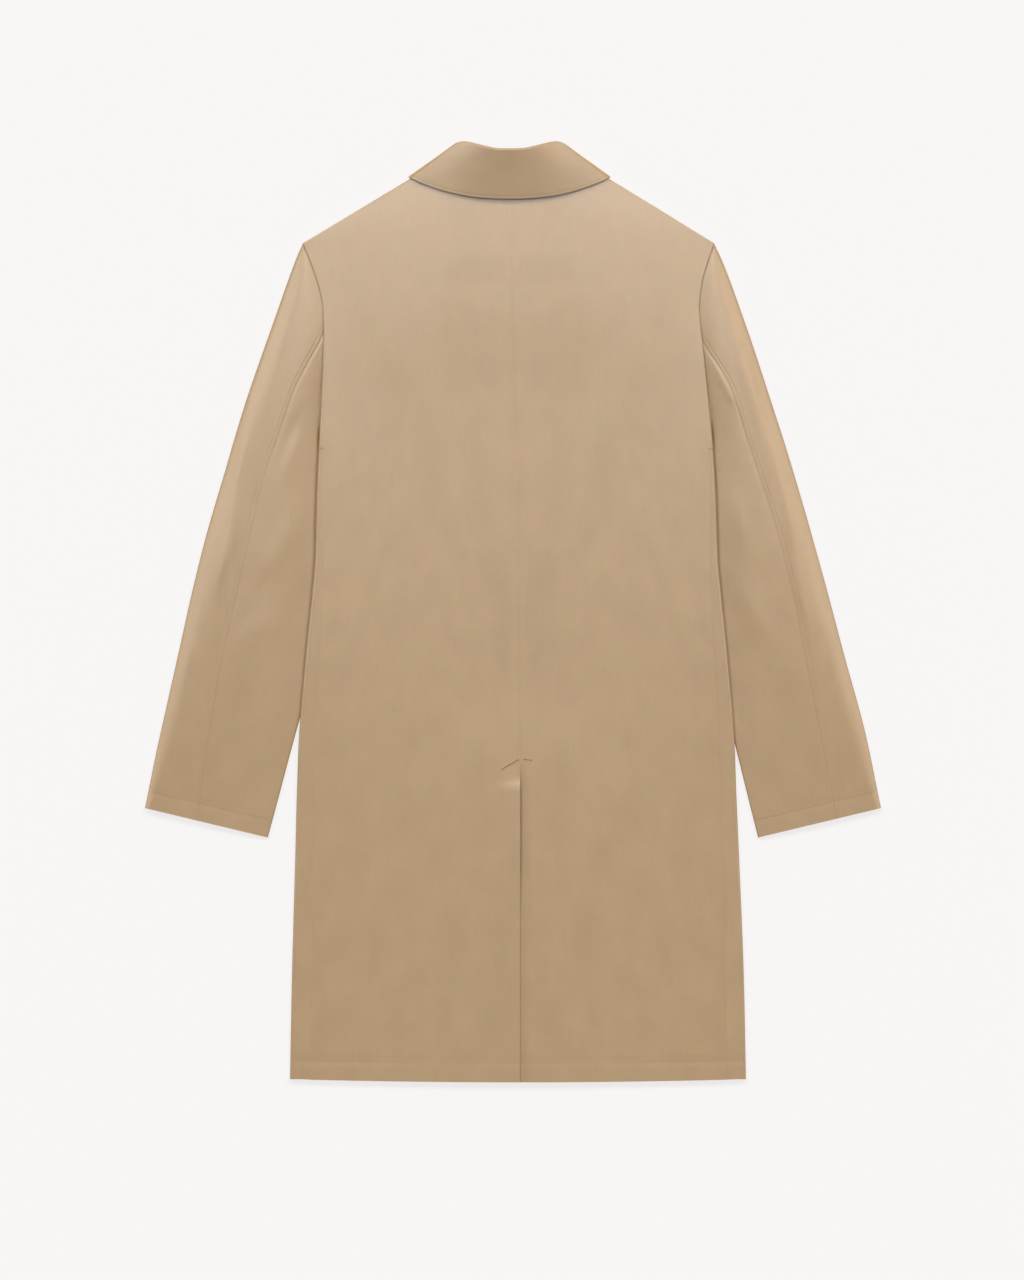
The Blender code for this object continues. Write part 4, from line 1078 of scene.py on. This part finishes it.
def sew(name, lines, radius):
    """One mesh of all the stitches along some lines, each given as its points and its up direction."""
    length = sewing("stitch")
    pitch = length + sewing("gap")
    parts = [stitches(line, up, pitch, length, radius) for line, up in lines]
    starts = np.cumsum([0] + [len(points) for points, _ in parts[:-1]])
    points = np.concatenate([points for points, _ in parts])
    quads = np.concatenate([quads + start for (_, quads), start in zip(parts, starts)])
    new_piece(name, points, quads, THREAD_NAME)


def line_on_back(side, across, along):
    """A line of stitching on the dressed back, with its up direction."""
    return place(side, across, along, back_surface(side, across, along)), UP


def hem_lines(side):
    """The hem stitch over one half of the back and the strip of the front beside it."""
    across = np.linspace(HEM_STITCH_START, BODY[0, 1] - HEM_STITCH_END, HEM_STITCH_POINTS)
    return [line_on_back(side, across, hem_line(across) + sewing("hem"))]


def bar_lines():
    """The vent's sewn bars: one slants down over the left back, a short one lies on the right back."""
    return [line_on_back(side, *np.linspace(start, end, BAR_POINTS).T) for side, start, end in VENT_BARS]


def sleeve_lines(side):
    """The cuff's stitch, over both panels, and the stitch beside the back seam, on the under sleeve."""
    curves = SleeveCurves(side)
    lines = []
    for grid in (upper_top(curves)[0], under_top(curves)[0]):
        line = level_line(grid, curves.from_cuff(grid), sewing("cuff"))[FOLD_COLUMNS // 2:]
        lines.append((place(side, *line.T), UP))
    grid, shares, width = under_top(curves)
    seam = level_line(np.swapaxes(grid, 0, 1), -((1 - shares) * width).T, -sewing("seam"))
    wide = width[:, 0] > SEAM_STITCH_ROOM * sewing("seam")
    lines.append((place(side, *seam[wide].T), UP))
    return lines


def collar_lines():
    """The stitch along the fall's edge, where it shows from above."""
    edge, tip, normal = fall_stations()
    share = sewing("collar") / (np.linalg.norm(tip - edge, axis=-1) - ROLL_RADIUS)
    flat, *_ = fall_surface(np.linspace(0, 1, 2))
    line = mix(flat[:, 0], flat[:, 1], share[:, None])
    seen = normal[:, 2] > COLLAR_STITCH_TURN
    line, normal = line[seen], normal[seen]
    both = np.concatenate([line[::-1] * (-1, 1, 1), line[1:]])
    ups = np.concatenate([normal[::-1] * (-1, 1, 1), normal[1:]])
    return [(place(RIGHT, *both.T), ups)]


class Wire:
    """A shader socket that takes part in Python expressions, each of which adds its Math node."""

    def __init__(self, tree, socket=None):
        self.tree = tree
        self.socket = socket

    def node(self, kind, settings=None, inputs=None, output=0):
        """Adds a node, sets its settings first and then its inputs' values or links."""
        node = self.tree.nodes.new(kind)
        for key, value in (settings or {}).items():
            setattr(node, key, value)
        for key, value in (inputs or {}).items():
            if isinstance(value, Wire):
                self.tree.links.new(value.socket, node.inputs[key])
            else:
                node.inputs[key].default_value = value
        return Wire(self.tree, node.outputs[output])

    def feed(self, shader, socket):
        self.tree.links.new(self.socket, shader.inputs[socket])

    def calculate(self, operation, first, second=0.0):
        return self.node("ShaderNodeMath", {"operation": operation}, {0: first, 1: second})

    def __add__(self, other):
        return self.calculate("ADD", self, other)

    def __radd__(self, other):
        return self.calculate("ADD", other, self)

    def __sub__(self, other):
        return self.calculate("SUBTRACT", self, other)

    def __rsub__(self, other):
        return self.calculate("SUBTRACT", other, self)

    def __mul__(self, other):
        return self.calculate("MULTIPLY", self, other)

    def __rmul__(self, other):
        return self.calculate("MULTIPLY", other, self)

    def sine(self):
        return self.calculate("SINE", self)


def new_material(name, values):
    """A material with some of its shader's values set, and a starting wire."""
    material = bpy.data.materials.new(name)
    material.use_nodes = True
    shader = material.node_tree.nodes["Principled BSDF"]
    for socket, value in values.items():
        shader.inputs[socket].default_value = value
    return shader, Wire(material.node_tree)


def gabardine_material(settings):
    """Tan gabardine: faint clouds, knots and uneven yarns in its colour, and a steep fine twill in relief.

    The pattern lies on each panel's own grain: across the warp and along it, in millimetres.
    """
    shader, wire = new_material(CLOTH_NAME, {
        "Sheen Weight": settings.sheen, "Sheen Roughness": SHEEN_ROUGHNESS,
        "Specular IOR Level": CLOTH_GLOSS})
    flat = wire.node("ShaderNodeUVMap", {"uv_map": GRAIN_MAP})
    flat = wire.node("ShaderNodeVectorMath", {"operation": "SCALE"}, {0: flat, "Scale": 1 / MM})

    def noise(name):
        across, along, detail = NOISES[name]
        stretched = wire.node("ShaderNodeMapping", None, {
            "Vector": flat, "Scale": (1 / across, 1 / along, 1.0)})
        values = {"Vector": stretched, "Scale": 1.0, "Detail": detail}
        return wire.node("ShaderNodeTexNoise", None, values) - 0.5

    warp = noise("warp")
    weft = noise("weft")
    cloud = noise("cloud")
    patchy = noise("patch")
    knots = wire.calculate("MAXIMUM", noise("knot") - KNOT_LEVEL, 0.0)
    across = wire.node("ShaderNodeSeparateXYZ", None, {0: flat})
    along = Wire(wire.tree, across.socket.node.outputs["Y"])
    turn = 2 * np.pi * MM / settings.twill
    slope = settings.twill_angle
    twill = (across * (turn * np.sin(slope)) - along * (turn * np.cos(slope))).sine()
    yarns = settings.slub * (warp + weft - KNOT_SHADE * knots)
    shade = 1.0 + yarns + settings.cloud * cloud + TWILL_SHADE * twill
    tone = wire.node("ShaderNodeMix", {"data_type": "RGBA"}, {
        0: 0.5 + PATCH_SHARE * patchy, 6: (*settings.tan, 1.0), 7: (*settings.sand, 1.0)}, output=2)
    colour = wire.node("ShaderNodeVectorMath", {"operation": "SCALE"}, {0: tone, "Scale": shade})
    relief = TWILL_RELIEF * twill + WARP_RELIEF * warp + WEFT_RELIEF * weft
    values = {"Height": relief, "Distance": settings.relief, "Strength": 1.0}
    bump = wire.node("ShaderNodeBump", None, values)
    colour.feed(shader, "Base Color")
    (settings.roughness + CLOUD_ROUGHNESS * cloud).feed(shader, "Roughness")
    bump.feed(shader, "Normal")


class COAT_OT_cloth(bpy.types.Operator):
    """Makes the gabardine for the panels."""

    bl_idname = "coat.cloth"
    bl_label = "Gabardine"

    def execute(self, context):
        gabardine_material(context.scene.coat_cloth)
        return {"FINISHED"}


class COAT_OT_backs(bpy.types.Operator):
    """Builds the two halves of the back, with the vent between them."""

    bl_idname = "coat.backs"
    bl_label = "Backs"

    def execute(self, context):
        for side in (LEFT, RIGHT):
            build_back(side)
        return {"FINISHED"}


class COAT_OT_fronts(bpy.types.Operator):
    """Builds the two fronts, which come round the sides onto the back."""

    bl_idname = "coat.fronts"
    bl_label = "Fronts"

    def execute(self, context):
        for side in (LEFT, RIGHT):
            build_front(side)
        return {"FINISHED"}


class COAT_OT_sleeves(bpy.types.Operator):
    """Builds the upper and under sleeves of both arms."""

    bl_idname = "coat.sleeves"
    bl_label = "Sleeves"

    def execute(self, context):
        for side in (LEFT, RIGHT):
            build_upper_sleeve(side)
            build_under_sleeve(side)
        return {"FINISHED"}


class COAT_OT_collar(bpy.types.Operator):
    """Builds the collar's stand and fall."""

    bl_idname = "coat.collar"
    bl_label = "Collar"

    def execute(self, context):
        build_stand()
        build_fall()
        return {"FINISHED"}


class COAT_OT_sewing(bpy.types.Operator):
    """Sews the hem, the vent's bars, the cuffs, the sleeve seams and the collar's edge."""

    bl_idname = "coat.sewing"
    bl_label = "Sewing"

    def execute(self, context):
        colour = (*context.scene.coat_sewing.colour, 1.0)
        new_material(THREAD_NAME, {"Base Color": colour, "Roughness": THREAD_ROUGHNESS})
        sew("hem_stitches", hem_lines(LEFT) + hem_lines(RIGHT), sewing("thread"))
        sew("vent_stitches", bar_lines(), sewing("bar"))
        for side in (LEFT, RIGHT):
            sew(f"sleeve_{SIDE_WORDS[side]}_stitches", sleeve_lines(side), sewing("thread"))
        sew("collar_stitches", collar_lines(), sewing("thread"))
        return {"FINISHED"}


def new_light(name, kind, location, power):
    """A light that points at the middle of the coat."""
    lamp = new_object(name, bpy.data.lights.new(name, kind))
    lamp.data.energy = power
    lamp.location = location
    lamp.rotation_euler = (-lamp.location).to_track_quat("-Z", "Y").to_euler()
    return lamp


def mirrored(side, point):
    return (side * point[0], *point[1:])


def softbox(name, location, power, size):
    """A square light that adds gloss alone."""
    lamp = new_light(name, "AREA", location, power)
    lamp.data.size = size
    lamp.visible_diffuse = False


def sky(stage):
    """Soft light from all round, which grows towards the horizon as a bell of its direction's height."""
    world = bpy.data.worlds.new("sky")
    world.use_nodes = True
    wire = Wire(world.node_tree)
    height = wire.node("ShaderNodeSeparateXYZ", None, {0: wire.node("ShaderNodeTexCoord")}, output=2)
    low = height * (1 / SKY_BAND)
    strength = stage.ambient + stage.horizon * wire.calculate("EXPONENT", -1.0 * low * low)
    background = world.node_tree.nodes["Background"]
    background.inputs["Color"].default_value = (1.0, 1.0, 1.0, 1.0)
    strength.feed(background, "Strength")
    return world


class COAT_OT_stage(bpy.types.Operator):
    """Builds the floor, the lights and the camera that looks straight down."""

    bl_idname = "coat.stage"
    bl_label = "Stage"

    def execute(self, context):
        stage = context.scene.coat_stage
        colour = (*stage.floor, 1.0)
        new_material("floor", {
            "Base Color": colour, "Emission Color": colour, "Emission Strength": stage.floor_glow,
            "Roughness": FLOOR_ROUGHNESS, "Specular IOR Level": FLOOR_GLOSS})
        bpy.ops.mesh.primitive_plane_add(size=FLOOR_SIZE, location=(0.0, 0.0, -FLOOR_DROP))
        floor = context.object
        floor.name = "floor"
        floor.data.materials.append(bpy.data.materials["floor"])
        softbox("gloss_top", GLOSS_PLACE, stage.gloss, GLOSS_SIZE)
        softbox("gloss_low", LOW_PLACE, stage.low, LOW_SIZE)
        softbox("rim_top", RIM_TOP, stage.rim, RIM_SIZE)
        for side in (LEFT, RIGHT):
            word = SIDE_WORDS[side]
            key = new_light(f"key_{word}", "SUN", mirrored(side, KEY_PLACE), stage.key)
            key.data.angle = stage.key_angle
            key.visible_glossy = False
            softbox(f"gloss_{word}", mirrored(side, SIDE_PLACE), stage.side, SIDE_SIZE)
            softbox(f"rim_{word}", mirrored(side, RIM_PLACE), stage.rim, RIM_SIZE)
        context.scene.world = sky(stage)
        context.scene.view_settings.view_transform = "Standard"
        camera = bpy.data.cameras.new("camera")
        camera.sensor_width = CAMERA_SENSOR
        camera.lens = camera.sensor_width * stage.camera_height / stage.view_length
        camera.clip_end = CAMERA_REACH
        viewer = new_object("camera", camera)
        viewer.location = (*CAMERA_PLACE, stage.camera_height)
        context.scene.camera = viewer
        return {"FINISHED"}


class COAT_PT_panel(bpy.types.Panel):
    """Lists the coat's pieces in the order that they are built."""

    bl_idname = "COAT_PT_panel"
    bl_label = "Coat"
    bl_space_type = "VIEW_3D"
    bl_region_type = "UI"
    bl_category = "Coat"

    def draw(self, context):
        for operator in OPERATORS:
            self.layout.operator(operator.bl_idname)


GROUPS = {
    "coat_cloth": CoatCloth,
    "coat_form": CoatForm,
    "coat_sewing": CoatSewing,
    "coat_stage": CoatStage,
}
OPERATORS = (
    COAT_OT_cloth, COAT_OT_fronts, COAT_OT_backs, COAT_OT_sleeves, COAT_OT_collar, COAT_OT_sewing,
    COAT_OT_stage)


def register():
    for kind in (*GROUPS.values(), *OPERATORS, COAT_PT_panel):
        bpy.utils.register_class(kind)
    for name, group in GROUPS.items():
        setattr(bpy.types.Scene, name, bpy.props.PointerProperty(type=group))


def unregister():
    for name in GROUPS:
        delattr(bpy.types.Scene, name)
    for kind in (COAT_PT_panel, *reversed(OPERATORS), *reversed(GROUPS.values())):
        bpy.utils.unregister_class(kind)


def main():
    """Builds the coat and its stage."""
    register()
    bpy.ops.coat.cloth()
    bpy.ops.coat.fronts()
    bpy.ops.coat.backs()
    bpy.ops.coat.sleeves()
    bpy.ops.coat.collar()
    bpy.ops.coat.sewing()
    bpy.ops.coat.stage()


if __name__ == "__main__":
    main()
